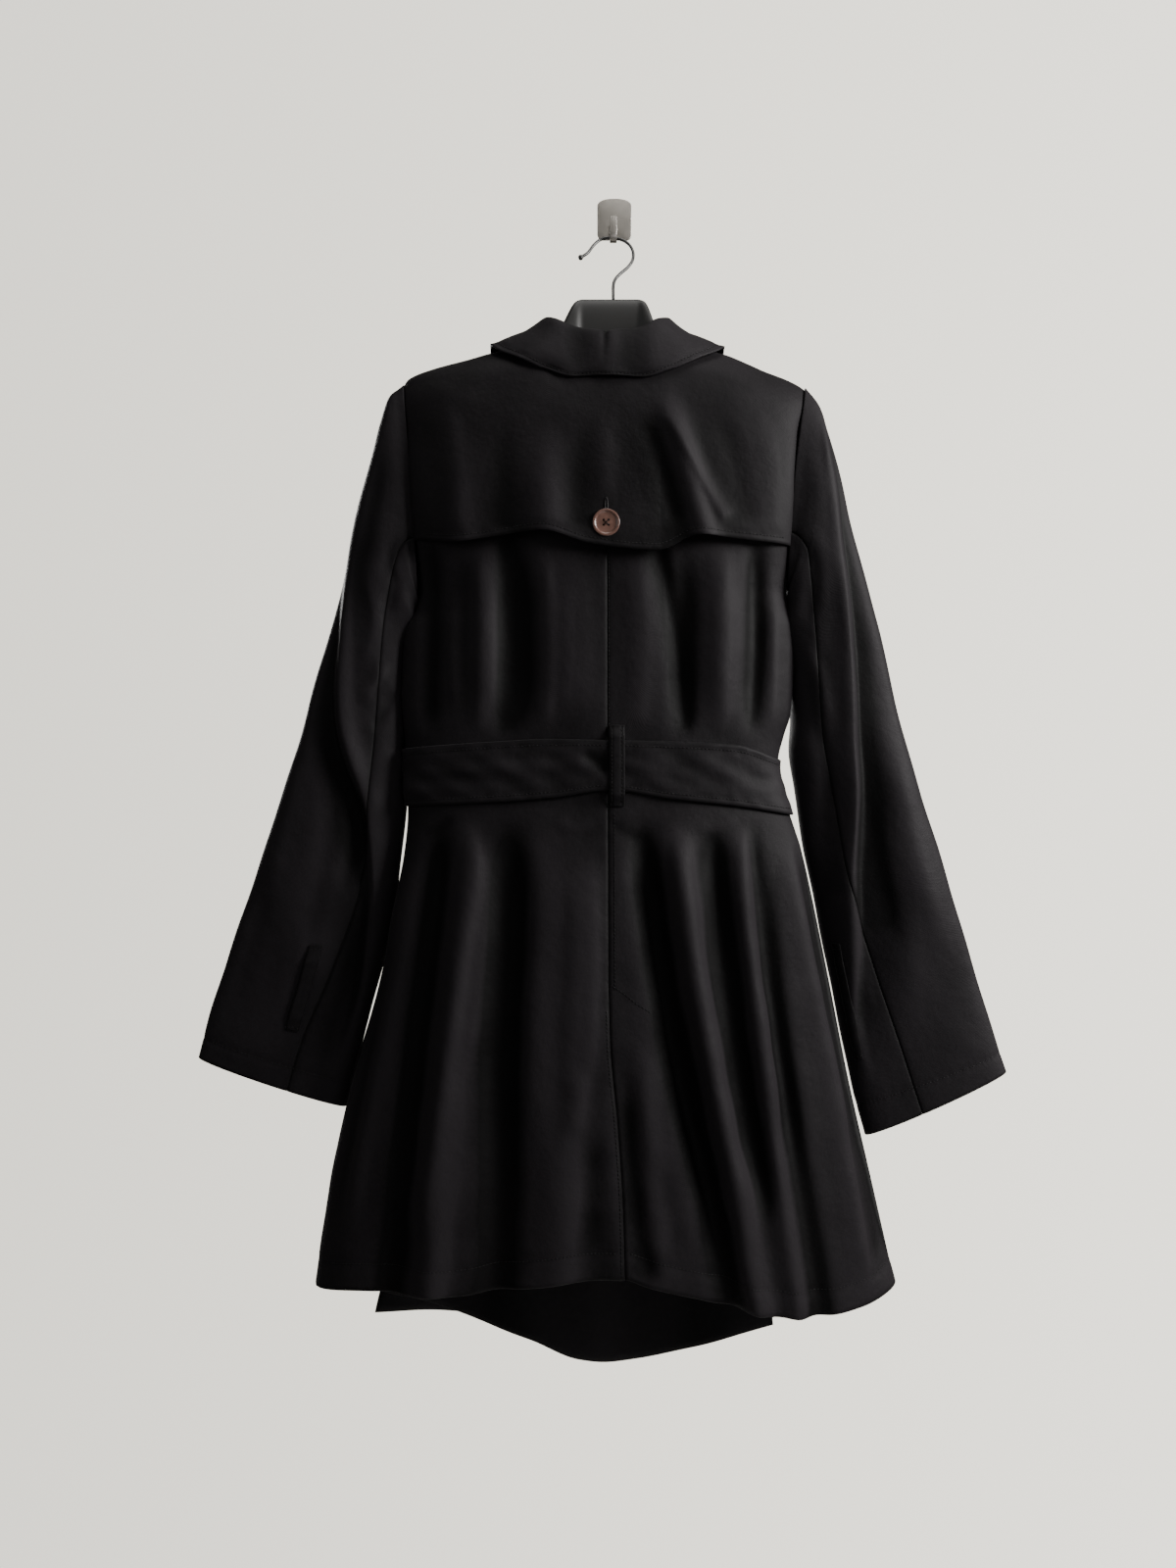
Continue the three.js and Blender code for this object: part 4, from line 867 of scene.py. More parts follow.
@dataclass(frozen=True)
class ShellCloth:
    """Black fine twill with a soft satin lustre, a little worn on its pressed edges. Its colour also holds
    painted shade in the fold valleys and along every sheet's rim, and painted light on the ridges.
    """

    name: str = "black_twill"
    # dark is the cloth's darkest random variation and also the painted shade of the fold valleys; light is
    # its lightest variation and also the painted light on the ridges.
    dark: tuple = (0.0004, 0.0002, 0.0003)
    light: tuple = (0.0098, 0.0083, 0.0096)
    worn: tuple = (0.0015, 0.0014, 0.0015)
    twill: float = 0.0011

    def material(self) -> bpy.types.Material:
        """Builds the material."""
        shader = Shader(
            self.name,
            Specular_IOR_Level=0.09,
            Sheen_Weight=0.03,
            Sheen_Roughness=0.45,
            Sheen_Tint=(0.55, 0.53, 0.55, 1),
        )
        uv = shader.node("ShaderNodeUVMap", {"uv_map": "cloth"}, {}).outputs[0]
        where = shader.objects()
        parts = shader.node("ShaderNodeSeparateXYZ", {}, {0: uv})
        u, v = Maths(shader, parts.outputs[0]), Maths(shader, parts.outputs[1])
        diagonal = ((u + v * 0.8) * (2 * math.pi / self.twill)).sine()
        cloudy = shader.noise(where, 9.0, 3.0)
        fine = shader.noise(where, 260.0, 4.0, 0.7)
        puckers = shader.noise(where, 38.0, 4.0, 0.6)
        edge, fold = shader.attribute("edge"), shader.attribute("fold")
        # The mix adds random cloudy and fine variation to painted light and shade: fold lightens the ridges
        # and darkens the valleys, and edge darkens every sheet's rim, painted shade in the seams.
        tone_and_painted_shade = (cloudy - 0.5) * 0.6 + (fine - 0.5) * 0.5 + fold * 0.3 - edge * 0.3 + 0.40
        colour = shader.mix(tone_and_painted_shade, self.dark, self.light)
        worn = shader.mix(edge * (fine * 0.5 + 0.25), (0, 0, 0), self.worn)
        total = shader.node(
            "ShaderNodeMix", {"data_type": "RGBA", "blend_type": "ADD"}, {0: 1.0, 6: colour, 7: worn}
        ).outputs[2]
        rough = cloudy * 0.1 + fine * 0.1 + 0.52 - edge * 0.06
        weave = shader.bump(diagonal * 0.6 + fine, 0.00012, 0.35)
        normal = shader.bump(puckers, 0.0022, 0.5, weave)
        return shader.drive(Base_Color=total, Roughness=rough, Normal=normal)


@dataclass(frozen=True)
class SewingThread:
    """Black twisted sewing thread."""

    name: str = "black_thread"
    dark: tuple = (0.0022, 0.0020, 0.0021)
    light: tuple = (0.0050, 0.0046, 0.0046)

    def material(self) -> bpy.types.Material:
        """Builds the material."""
        shader = Shader(self.name, Specular_IOR_Level=0.15)
        twist = shader.noise(shader.objects(), 1600.0, 2.0)
        colour = shader.mix(twist, self.dark, self.light)
        return shader.drive(Base_Color=colour, Roughness=twist * 0.2 + 0.42)


@dataclass(frozen=True)
class ButtonResin:
    """Dark brown polished resin with cloudy grain."""

    name: str = "brown_resin"
    dark: tuple = (0.066, 0.031, 0.023)
    light: tuple = (0.135, 0.070, 0.054)

    def material(self) -> bpy.types.Material:
        """Builds the material."""
        shader = Shader(self.name, Specular_IOR_Level=0.55, Coat_Roughness=0.2)
        where = shader.objects()
        grain = shader.noise(where, 170.0, 5.0, 0.65)
        scratch = shader.noise(where, 1400.0, 3.0)
        colour = shader.mix((grain - 0.25) * 1.8, self.dark, self.light)
        coat = grain * 0.25 + 0.15
        normal = shader.bump(scratch, 0.00006, 0.25)
        rough = scratch * 0.16 + 0.26
        return shader.drive(Base_Color=colour, Roughness=rough, Coat_Weight=coat, Normal=normal)


@dataclass(frozen=True)
class HangerPlastic:
    """Matt black moulded plastic with a fine grain."""

    name: str = "black_moulded_plastic"
    dark: tuple = (0.0077, 0.0074, 0.0072)
    light: tuple = (0.0126, 0.0121, 0.0115)

    def material(self) -> bpy.types.Material:
        """Builds the material."""
        shader = Shader(self.name, Specular_IOR_Level=0.4)
        where = shader.objects()
        grain = shader.noise(where, 900.0, 3.0)
        cloud = shader.noise(where, 22.0, 3.0)
        colour = shader.mix(cloud * 0.8 + grain * 0.2, self.dark, self.light)
        return shader.drive(
            Base_Color=colour,
            Roughness=cloud * 0.16 + 0.44,
            Normal=shader.bump(grain, 0.00012, 0.35),
        )


@dataclass(frozen=True)
class WirePaint:
    """Black coated wire, a little rubbed."""

    name: str = "black_coated_wire"
    dark: tuple = (0.006, 0.006, 0.006)
    light: tuple = (0.020, 0.019, 0.018)

    def material(self) -> bpy.types.Material:
        """Builds the material."""
        shader = Shader(self.name, Specular_IOR_Level=0.5)
        where = shader.objects()
        rub = shader.noise(where, 300.0, 4.0, 0.6)
        colour = shader.mix(rub, self.dark, self.light)
        normal = shader.bump(rub, 0.00005, 0.3)
        return shader.drive(Base_Color=colour, Roughness=rub * 0.25 + 0.25, Normal=normal)


@dataclass(frozen=True)
class BrushedSteel:
    """Steel brushed up and down, duller in soft clouds."""

    name: str = "brushed_steel"
    dark: tuple = (0.36, 0.34, 0.31)
    light: tuple = (0.52, 0.49, 0.45)

    def material(self) -> bpy.types.Material:
        """Builds the material."""
        shader = Shader(self.name, Metallic=1.0)
        where = shader.objects()
        mapping = {"Vector": where, "Scale": (1.0, 1.0, 0.035)}
        stretched = shader.node("ShaderNodeMapping", {}, mapping).outputs[0]
        lines = shader.noise(stretched, 2600.0, 3.0, 0.6)
        cloud = shader.noise(where, 60.0, 2.0)
        colour = shader.mix(lines * 0.6 + cloud * 0.4, self.dark, self.light)
        normal = shader.bump(lines, 0.00004, 0.35)
        return shader.drive(Base_Color=colour, Roughness=lines * 0.16 + cloud * 0.12 + 0.3, Normal=normal)


@dataclass(frozen=True)
class PaleFloor:
    """Plain pale floor with a faint mottle."""

    name: str = "pale_floor"
    low: tuple = (0.70, 0.69, 0.665)
    high: tuple = (0.74, 0.73, 0.71)

    def material(self) -> bpy.types.Material:
        """Builds the material."""
        shader = Shader(self.name, Specular_IOR_Level=0.2, Roughness=0.9)
        return shader.drive(Base_Color=shader.mix(shader.noise(shader.objects(), 1.4), self.low, self.high))


class Wardrobe:
    """The finishes, each made once."""

    def __init__(self) -> None:
        """Builds every material."""
        self.cloth = ShellCloth().material()
        self.thread = SewingThread().material()
        self.button = ButtonResin().material()
        self.hanger = HangerPlastic().material()
        self.wire = WirePaint().material()
        self.plate = BrushedSteel().material()
        self.floor = PaleFloor().material()


def fit_out(piece: Piece, finish: bpy.types.Material, slot: Slot, *nodes: str) -> Piece:
    """Dresses a piece and ties it to the frame.

    Args:
        piece: the piece.
        finish: its material.
        slot: the record's slot that it belongs to; not used.
        nodes: CAD nodes that it stands for.

    Returns:
        The piece.
    """
    piece.data.materials.clear()
    piece.data.materials.append(finish)
    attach(piece, "root")
    if nodes:
        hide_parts(*nodes)
    triangles = sum(len(face.vertices) - 2 for face in piece.data.polygons)
    LOG.info("%s: %d triangles", piece.name, triangles)
    return piece


class Stitcher:
    """Lays runs of topstitching on the cloth.

    RINGS holds a stitch's sections: place along its length, share of its radius, height.
    """

    LENGTH = 2.7
    PITCH = 3.5
    RADIUS = 0.3
    STAND = 0.15
    SIDES = 6
    ENDS = ((0, 3, 2, 1), (0, 5, 4, 3))
    RINGS = ((-0.5, 0.35, -0.1), (-0.3, 1.0, 0.1), (0.3, 1.0, 0.1), (0.5, 0.35, -0.1))

    def __init__(self, thread: bpy.types.Material) -> None:
        """Keeps the thread's material."""
        self.thread = thread

    def run(self, line: Array, out: Array) -> tuple:
        """Points and faces of the stitches along a line.

        Args:
            line: points on the cloth's face.
            out: the face's unit normals there.

        Returns:
            Vertices and quads.
        """
        steps = np.linalg.norm(np.diff(line, axis=0), axis=1)
        run = np.concatenate(([0.0], np.cumsum(steps)))
        count = max(int(run[-1] / self.PITCH), 1)
        middle = (np.arange(count) + 0.5) * run[-1] / count
        ends = [
            np.stack([np.interp(middle + shift, run, line[:, k]) for k in range(3)], 1)
            for shift in (-self.LENGTH / 2, self.LENGTH / 2)
        ]
        normal = np.stack([np.interp(middle, run, out[:, k]) for k in range(3)], 1)
        along = unit(ends[1] - ends[0])
        across = unit(np.cross(along, normal))
        normal = np.cross(across, along)
        spoke = spokes(across, normal, self.SIDES)
        points = []
        for share, swell, height in self.RINGS:
            centre = (ends[0] + ends[1]) / 2 + along * share * self.LENGTH + normal * height
            points.append(centre[:, None] + spoke * (self.RADIUS * swell))
        block = np.stack(points, 1).reshape(count, -1, 3)
        last = (len(self.RINGS) - 1) * self.SIDES
        quads = [tuple(face) for face in tube_faces(len(self.RINGS), self.SIDES)]
        quads += [*self.ENDS, (last, last + 1, last + 2, last + 3), (last, last + 3, last + 4, last + 5)]
        faces = np.array(quads)[None] + (np.arange(count) * block.shape[1])[:, None, None]
        return block.reshape(-1, 3), faces.reshape(-1, 4)

    def sew(self, name: str, lines: Sequence[tuple]) -> Piece:
        """Makes one piece of several runs.

        Args:
            name: name of the piece.
            lines: pairs of points and normals.

        Returns:
            The piece.
        """
        points, faces, count = [], [], 0
        for line, out in lines:
            run_points, run_faces = self.run(line + out * self.STAND, out)
            points.append(run_points)
            faces.append(run_faces + count)
            count += len(run_points)
        piece = mesh_object(name, np.vstack(points), np.vstack(faces))
        return fit_out(piece, self.thread, Slot.CLOTH)


@dataclass
class BackPanels:
    """The two back panels, from the shoulders to the hem, and the vent's extension."""

    columns: int = 96
    rows: int = 250
    hem_stitch: float = 24.0
    hem: Curve = field(default_factory=lambda: Curve(BACK_HEM))
    seam: Curve = field(default_factory=lambda: Curve(BACK_SEAM))
    neck: Curve = field(default_factory=lambda: Curve(BACK_NECK))
    ripple: Ripple = field(default_factory=lambda: Ripple(11, 95, 0.45))
    ripple_rise: tuple = (200.0, 60.0)
    seam_pucker: Pucker = Pucker(4.6, 1.7, 31, 0.16, 0.55, 3.2)
    seam_rise: tuple = (330.0, 20.0)
    hem_pucker: Pucker = Pucker(5.1, 2.1, 27, 0.22, 0.5, 3.0)
    vent_rise: tuple = (VENT_TOP, 90.0)
    vent_edge: float = 16.0
    vent_stand: dict = field(default_factory=lambda: {Side.LEFT: 1.7, Side.RIGHT: -0.5})
    waist_sink: float = 0.5
    under_vent: float = 1.8

    def relief(self, x: Array, drop: Array, side: Any) -> Array:
        """Creases, waves and seam puckers on top of the main folds.

        Args:
            x: places across.
            drop: places down.
            side: the panel, or None for what lies under both.

        Returns:
            Heights.
        """
        points = np.stack((x, drop, np.zeros_like(x)), -1)
        high = relief_of(BACK_CREASES, x, drop) + self.ripple(points) * rise(drop, *self.ripple_rise)
        off = x - self.seam(drop)
        high = high + self.seam_pucker.height(drop, off) * rise(drop, *self.seam_rise)
        high = high + self.hem_pucker.height(x, self.hem(x) - drop - self.hem_stitch)
        if side is not None:
            near = bell(off, self.vent_edge) * rise(drop, *self.vent_rise)
            high = high + near * self.vent_stand[side]
        waist = bell(drop - BELT_TOP - 3, WAIST_WIDE) + bell(drop - BELT_FOOT + 6, WAIST_WIDE)
        return high - self.waist_sink * waist

    def at(self, x: Array, drop: Array, lift: Any, side: Any = None) -> Array:
        """Points of the panels' face by x and drop."""
        w = FORM.turn_at(x, drop)
        below = np.maximum(drop - FORM.ridge(FORM.share(w)), 0)
        return FORM.on_skin(w, below, self.relief(x, drop, side) + lift)

    def line(self, x: Array, drop: Array, side: Any = None) -> tuple:
        """Points and normals along a line on the face."""
        return line_on(lambda lift: self.at(x, drop, lift, side))

    def grid(self, side: Side) -> tuple:
        """Turns and distances below the ridge of one panel's grid."""
        a, b = grid(self.columns, self.rows)
        sign = side.value
        gap = sign * SEAM_GAP * 0.5
        top_share = lerp(sign, 0.0, 1 - np.cos(a * math.pi / 2))
        hem_x = hem_column(sign, self.seam(SEAM_FOOT), a)
        top = FORM.ridge(top_share) + self.neck(np.abs(top_share))
        drop = row_drop(b, top, self.hem(hem_x))
        w = lerp(float(sign), FORM.turn_at(self.seam(drop) + gap, drop), a)
        return w, np.maximum(drop - FORM.ridge(FORM.share(w)), 0)

    def panel(self, side: Side) -> Piece:
        """Builds one panel."""
        w, below = self.grid(side)
        x, drop = FORM.place(w, below)
        high = self.relief(x, drop, side)
        face = FORM.on_skin(w, below, high)
        lining = FORM.on_skin(w, below, high - CLOTH)
        return cloth_wall(f"back_panel_{side.word}", face, lining)

    def extension(self) -> Piece:
        """Builds the extension that lies inside the left panel at the vent."""
        a, b = grid(20, 110)
        drop = lerp(VENT_TOP, self.hem(0.0) - 1.0, b)
        x = self.seam(drop) + lerp(-VENT_WIDTH, VENT_COVER, a)
        rest = -self.under_vent - VENT_GAP
        face = self.at(x, drop, rest)
        lining = self.at(x, drop, rest - LIGHT_CLOTH)
        return cloth_wall("vent_extension", face, lining)

    def beside_seam(self, top: float, foot: float, count: int, off: float, side: Side) -> tuple:
        """Points and normals of a line that runs down beside the centre seam."""
        drop = np.linspace(top, foot, count)
        return self.line(self.seam(drop) + off, drop, side)

    def build(self, wardrobe: Wardrobe, stitcher: Stitcher) -> None:
        """Builds and dresses the pieces and their stitching."""
        for side in Side:
            piece = fit_out(self.panel(side), wardrobe.cloth, Slot.CLOTH, f"back_{side.word}")
        piece = fit_out(self.extension(), wardrobe.cloth, Slot.CLOTH, "back_vent_extension")
        lines = []
        hems = ((Side.LEFT, BACK_HEM[0][0] * 0.985, -1.0), (Side.RIGHT, 12.0, BACK_HEM[-1][0] * 0.985))
        for side, start, end in hems:
            x = np.clip(np.linspace(start, end, 260), -281, 258)
            drop = self.hem(x) - self.hem_stitch
            if side is Side.LEFT:
                x = np.maximum(x, FORM.left(drop) + 3)
            else:
                x = np.minimum(x, FORM.right(drop) - 3)
            keep = np.concatenate(([True], np.diff(x) > 0.2))
            lines.append(self.line(x[keep], drop[keep], side))
        lines.append(self.beside_seam(BELT_FOOT + 2, 757, 160, 6.0, Side.RIGHT))
        lines.append(self.beside_seam(350, 524, 120, 1.6, Side.RIGHT))
        slant = smooth_path(((-4, 753), (8, 761), (18, 769), (32, 778)), 8)
        lines.append(self.line(slant[:, 0], slant[:, 1], Side.RIGHT))
        lines.append(self.beside_seam(775, self.hem(5.0) - 2, 160, -2.2, Side.LEFT))
        stitcher.sew("stitching_back", lines)


@dataclass
class StormFlap:
    """The storm flap over the shoulders, sewn in at neck, shoulders and armholes."""

    columns: int = 200
    rows: int = 80
    edge_turn: float = 0.97
    stitch_above_hem: float = 5.5
    hem: Curve = field(default_factory=lambda: Curve(FLAP_HEM))
    neck: Curve = field(default_factory=lambda: Curve(BACK_NECK))
    ripple: Ripple = field(default_factory=lambda: Ripple(23, 80, 0.5))
    pucker: Pucker = Pucker(4.4, 1.9, 23, 0.22, 0.55, 2.6)
    buttonhole_at: tuple = (-9.6, 311.5)
    buttonhole_size: tuple = (7.5, 1.5)

    def span(self, w: Array) -> tuple:
        """Top and hem drops at a turn."""
        share = FORM.share(w)
        top = FORM.ridge(share) + np.maximum(self.neck(np.abs(share)), 1)
        return top, self.hem(FORM.middle(340.0) + FORM.half(340.0) * share)

    def point(self, w: Array, drop: Array, lift: Any) -> Array:
        """Points above the flap's inner side by turn and drop."""
        share = FORM.share(w)
        top, hem = self.span(w)
        s = np.clip((drop - top) / (hem - top), 0, 1)
        x = FORM.middle(drop) + FORM.half(drop) * share
        main = np.maximum(wide_folds(FLAP_FOLDS, x, drop), 0) * ease(s * 1.8)
        fine = relief_of(FLAP_CREASES, x, drop) + self.ripple(np.stack((x, drop, np.zeros_like(x)), -1)) * 0.8
        pucker = self.pucker.height(x, hem - drop - self.stitch_above_hem)
        grown = ease(s * 3)
        stand = FLAP_FLARE * s**2.3 + 1.2 * grown + main + (fine + 0.8) * grown + pucker
        keep = 1 - np.abs(share) ** 6
        below = np.maximum(drop - FORM.ridge(share), 0)
        return FORM.on_skin(w, below, lift + np.maximum(stand, 0) * keep)

    def panel(self) -> Piece:
        """Builds the flap."""
        a, b = grid(self.columns, self.rows)
        w = lerp(-self.edge_turn, self.edge_turn, a)
        top, hem = self.span(w)
        drop = lerp(top, hem, b**1.4)
        face = self.point(w, drop, FLAP_REST)
        lining = self.point(w, drop, FLAP_REST - CLOTH)
        return cloth_wall("storm_flap_back", face, lining)

    def line(self, x: Array, drop: Array) -> tuple:
        """Points and normals along a line on the face."""
        w = FORM.turn_at(x, drop)
        return line_on(lambda lift: self.point(w, drop, FLAP_REST + lift))

    def buttonhole(self) -> tuple:
        """Points and faces of the worked buttonhole above the button: a flat oval ring."""
        x0, drop0 = self.buttonhole_at
        tall, wide = self.buttonhole_size
        turn = np.linspace(0, 2 * math.pi, 40, endpoint=False)
        rings = []
        for scale, lift in ((0.35, 0.05), (0.6, 0.65), (1.0, 0.6), (1.25, 0.0)):
            x = x0 + np.cos(turn) * wide * scale
            drop = drop0 + np.sin(turn) * (tall + wide * (scale - 1))
            face, out = self.line(x, drop)
            rings.append(face + out * lift)
        return np.vstack(rings), tube_faces(len(rings), len(turn))

    def build(self, wardrobe: Wardrobe, stitcher: Stitcher) -> None:
        """Builds and dresses the flap and its stitching."""
        piece = fit_out(self.panel(), wardrobe.cloth, Slot.CLOTH, "storm_flap")
        points, faces = self.buttonhole()
        fit_out(mesh_object("buttonhole_back", points, faces), wardrobe.thread, Slot.CLOTH)
        x = np.linspace(-179, 156, 300)
        stitcher.sew("stitching_storm_flap", [self.line(x, self.hem(x) - self.stitch_above_hem)])


@dataclass
class FrontPanels:
    """The two fronts, which lap over each other, and their turned back lapels."""

    columns: int = 80
    rows: int = 170
    edges: dict = field(
        default_factory=lambda: {Side.LEFT: Curve(LEFT_FRONT_EDGE), Side.RIGHT: Curve(RIGHT_FRONT_EDGE)}
    )
    hem_rows: dict = field(default_factory=lambda: {Side.LEFT: LEFT_FRONT_HEM, Side.RIGHT: RIGHT_FRONT_HEM})
    edge_stitch_top: float = 345.0
    edge_stitch_foot: dict = field(default_factory=lambda: {Side.LEFT: 1096.0, Side.RIGHT: 1080.0})
    edge_stitch_in: float = 7.0
    hem_stitch: float = 22.0
    lapel_rows: tuple = (
        (39, 184, 108, 226),
        (5, 216, 84, 262),
        (-30, 255, 38, 298),
        (-68, 298, -26, 324),
        (-94, 329, -84, 338),
    )

    def point(self, side: Side, w: Array, below: Array, lift: Any) -> Array:
        """Points of a front; below is above 0."""
        x, drop = FORM.place(w, below)
        high = relief_of(FRONT_CREASES, x, drop) + front_lift(side is Side.RIGHT, w, below)
        return FORM.on_skin(w, -np.maximum(below, 1e-3), high + lift)

    def at(self, side: Side, x: Array, drop: Array, lift: Any) -> Array:
        """Points of a front by x and drop."""
        w = FORM.turn_at(x, drop)
        return self.point(side, w, np.maximum(drop - FORM.ridge(FORM.share(w)), 1e-3), lift)

    def line(self, side: Side, x: Array, drop: Array) -> tuple:
        """Points and normals along a line on a front's outer face."""
        return line_on(lambda lift: self.at(side, x, drop, lift))

    def panel(self, side: Side) -> Piece:
        """Builds one front."""
        a, b = grid(self.columns, self.rows)
        sign, edge, rows = side.value, self.edges[side], self.hem_rows[side]
        hem = Curve(rows)
        free_x = rows[-1][0] if sign < 0 else rows[0][0]
        neck_share = FORM.share(FORM.turn_at(edge(0.0), 146.0))
        drop = row_drop(b, FORM.ridge(lerp(sign, neck_share, a)), hem(hem_column(sign, free_x, a)))
        edge_drop = row_drop(b, FORM.ridge(neck_share), hem(free_x))
        w = lerp(float(sign), FORM.turn_at(edge(edge_drop), edge_drop), a)
        below = np.maximum(drop - FORM.ridge(FORM.share(w)), 1e-3)
        return cloth_wall(
            f"front_panel_{side.word}",
            self.point(side, w, below, 0.0),
            self.point(side, w, below, -CLOTH),
        )

    def lapel(self, side: Side) -> Piece:
        """Builds one lapel."""
        a, b = grid(40, 60)
        steps = np.linspace(0, 1, len(self.lapel_rows))
        rows = [(t, *row) for t, row in zip(steps, self.lapel_rows)]
        roll_x, roll_drop, edge_x, edge_drop = (Curve(rows, k) for k in (1, 2, 3, 4))
        x = NECK_MIDDLE + side.value * lerp(roll_x(b), edge_x(b), a)
        drop = lerp(roll_drop(b), edge_drop(b), a)
        swell = 0.5 * np.sin(a * math.pi)
        top = LAYER_GAP + 1.6
        return cloth_wall(
            f"lapel_turned_{side.word}",
            self.at(side, x, drop, top + swell),
            self.at(side, x, drop, top - LIGHT_CLOTH + swell),
        )

    def build(self, wardrobe: Wardrobe, stitcher: Stitcher) -> None:
        """Builds and dresses the fronts, the lapels and their stitching."""
        lines = []
        for side in Side:
            piece = fit_out(self.panel(side), wardrobe.cloth, Slot.CLOTH, f"front_{side.word}")
            piece = fit_out(self.lapel(side), wardrobe.cloth, Slot.CLOTH, f"lapel_{side.word}")
            drop = np.linspace(self.edge_stitch_top, self.edge_stitch_foot[side], 300)
            lines.append(self.line(side, self.edges[side](drop) + side.value * self.edge_stitch_in, drop))
            rows = self.hem_rows[side]
            x = np.linspace(rows[0][0] + 10, rows[-1][0] - 10, 220)
            lines.append(self.line(side, x, Curve(rows)(x) - self.hem_stitch))
        stitcher.sew("stitching_fronts", lines)


@dataclass
class Collar:
    """The collar's stand and fall. Rows run from the centre back to a front end."""

    rows: tuple = (
        (0, 34, 1, 27.5, 0, 49, 6.6, 2, 0),
        (19, 32, 1, 29, 30, 48, 6.6, 2, 0),
        (38, 21, 3, 28, 58, 37, 6.8, 4, 0),
        (51, 7, 4, 25, 86, 21, 8.8, 5, 0),
        (57, -2, 4, 21, 109, 2, 10.4, 4, 0),
        (52, -12, 4, 17, 114, -16, 8.8, 3, 2),
        (44, -28, 3, 12, 110, -42, 7, 2, 4),
        (34, -46, 2, 6, 97, -72, 6, 1, 5),
    )
    stand_reach: float = 0.8
    roll_over: tuple = ((-5.2, -6), (-4.8, 0), (-1.0, 2.6), (3.6, 0))
    stitch_in: float = 0.955
    ripple: Ripple = field(default_factory=lambda: Ripple(37, 46, 0.55))
    pucker: Pucker = Pucker(4.3, 1.8, 21, 0.2, 0.5, 0.022)
    half_run: float = 230.0

    def __post_init__(self) -> None:
        """Fits the collar's curves."""
        steps = np.linspace(0, 1, len(self.rows))
        rows = [(c, *row) for c, row in zip(steps, self.rows)]
        self.curves = [Curve(rows, k) for k in range(1, 10)]

    def section(self, c: Array) -> dict:
        """Key points of the collar's section at each place c from -1 to 1."""
        far, sign = np.abs(c), np.sign(c)
        values = (curve(far) for curve in self.curves)
        neck_x, sewn, roll_out, roll_up, fall_x, hang, rest, belly, off = values

        def share_at(out: Array, below: Array) -> Array:
            drop = 160 + np.abs(below) * 0.5
            return (NECK_MIDDLE + sign * out - FORM.middle(drop)) / FORM.half(drop)

        def at(share: Array, below: Array, lift: Array) -> Array:
            w = FORM.turn(share)
            raised = np.where(below < 0, front_lift(sign > 0, w, -below), 0.0)
            return FORM.on_skin(w, below, raised + lift)

        neck_share, edge_share = share_at(neck_x, sewn), share_at(fall_x, hang)
        seam = at(neck_share, sewn, np.zeros_like(c))
        edge = at(edge_share, hang, rest)
        middle = at((neck_share + edge_share) / 2, (sewn + hang) / 2, rest + belly)
        out = (edge - seam) * (1, 1, 0)
        out /= np.linalg.norm(out, axis=-1, keepdims=True)
        roll = at(neck_share, sewn, off) + out * roll_out[..., None]
        roll[..., 2] += roll_up
        return {"seam": seam, "edge": edge, "belly": middle, "out": out, "roll": roll}

    def surface(self, a: Array, b: Array) -> Array:
        """Points of the fall's outer face; b runs from under the roll to the free edge."""
        key = self.section(lerp(-1.0, 1.0, a))
        corners = []
        for out, up in self.roll_over:
            point = key["roll"] + key["out"] * out
            point[..., 2] += up
            corners.append(point)
        corners += [key["belly"], key["edge"]]
        first, last = 2 * corners[0] - corners[1], 2 * corners[-1] - corners[-2]
        p = np.stack([first, *corners, last])
        t = np.clip(b, 0, 1 - 1e-9) * 5
        i = t.astype(int)
        t = (t - i)[..., None]
        pick = [np.take_along_axis(p, (i + k)[None, ..., None].repeat(3, -1), axis=0)[0] for k in range(4)]
        way = [pick[k + 1] - pick[k] for k in range(3)]
        step = [np.sqrt(np.linalg.norm(w, axis=-1, keepdims=True)) for w in way]
        slopes = []
        for k in (0, 1):
            over_both = (pick[k + 2] - pick[k]) / (step[k] + step[k + 1])
            slopes.append((way[k] / step[k] - over_both + way[k + 1] / step[k + 1]) * step[1])
        m1, m2 = slopes
        jump = way[1]
        return pick[1] + m1 * t + (3 * jump - 2 * m1 - m2) * t**2 + (m1 + m2 - 2 * jump) * t**3

    def relief(self, a: Array, b: Array) -> Array:
        """Height of the fall's wrinkles and of the stitched edge's puckers."""
        c = lerp(-1.0, 1.0, a) * self.half_run
        high = self.ripple(np.stack((c, b * 60, np.zeros_like(c)), -1)) * rise(b, 0.2, 0.3)
        high = high + self.pucker.height(c, b - self.stitch_in)
        pinch = bell(c + 4 + 10 * (b - 0.6), 3.5) * bell(b - 0.6, 0.1)
        return high - 1.6 * pinch + 0.7 * bell(c - 6, 8) * bell(b - 0.62, 0.12)

    def fall(self, a: Array, b: Array, lift: Any) -> Array:
        """Points lifted off the fall's face."""
        a, b = lerp(0.002, 0.998, a), lerp(0.002, 0.998, b)
        normal = normals_of(self.surface, a, b, 0.002, 0.002)
        high = self.relief(a, b) + lift
        return self.surface(a, b) + normal * np.asarray(high)[..., None]

    def stand(self, a: Array, b: Array, lift: float) -> Array:
        """Points of the stand's face; b runs up from the neck seam."""
        key = self.section(lerp(-self.stand_reach, self.stand_reach, a))
        foot, head = key["seam"].copy(), key["roll"].copy()
        foot[..., 2] += 2.6
        head[..., 2] -= 4.5
        return lerp(foot, head, b[..., None]) + key["out"] * lift

    def line(self, a: Array, b: Array) -> tuple:
        """Points and normals along a line on the fall."""
        return line_on(lambda lift: self.fall(a, b, lift))

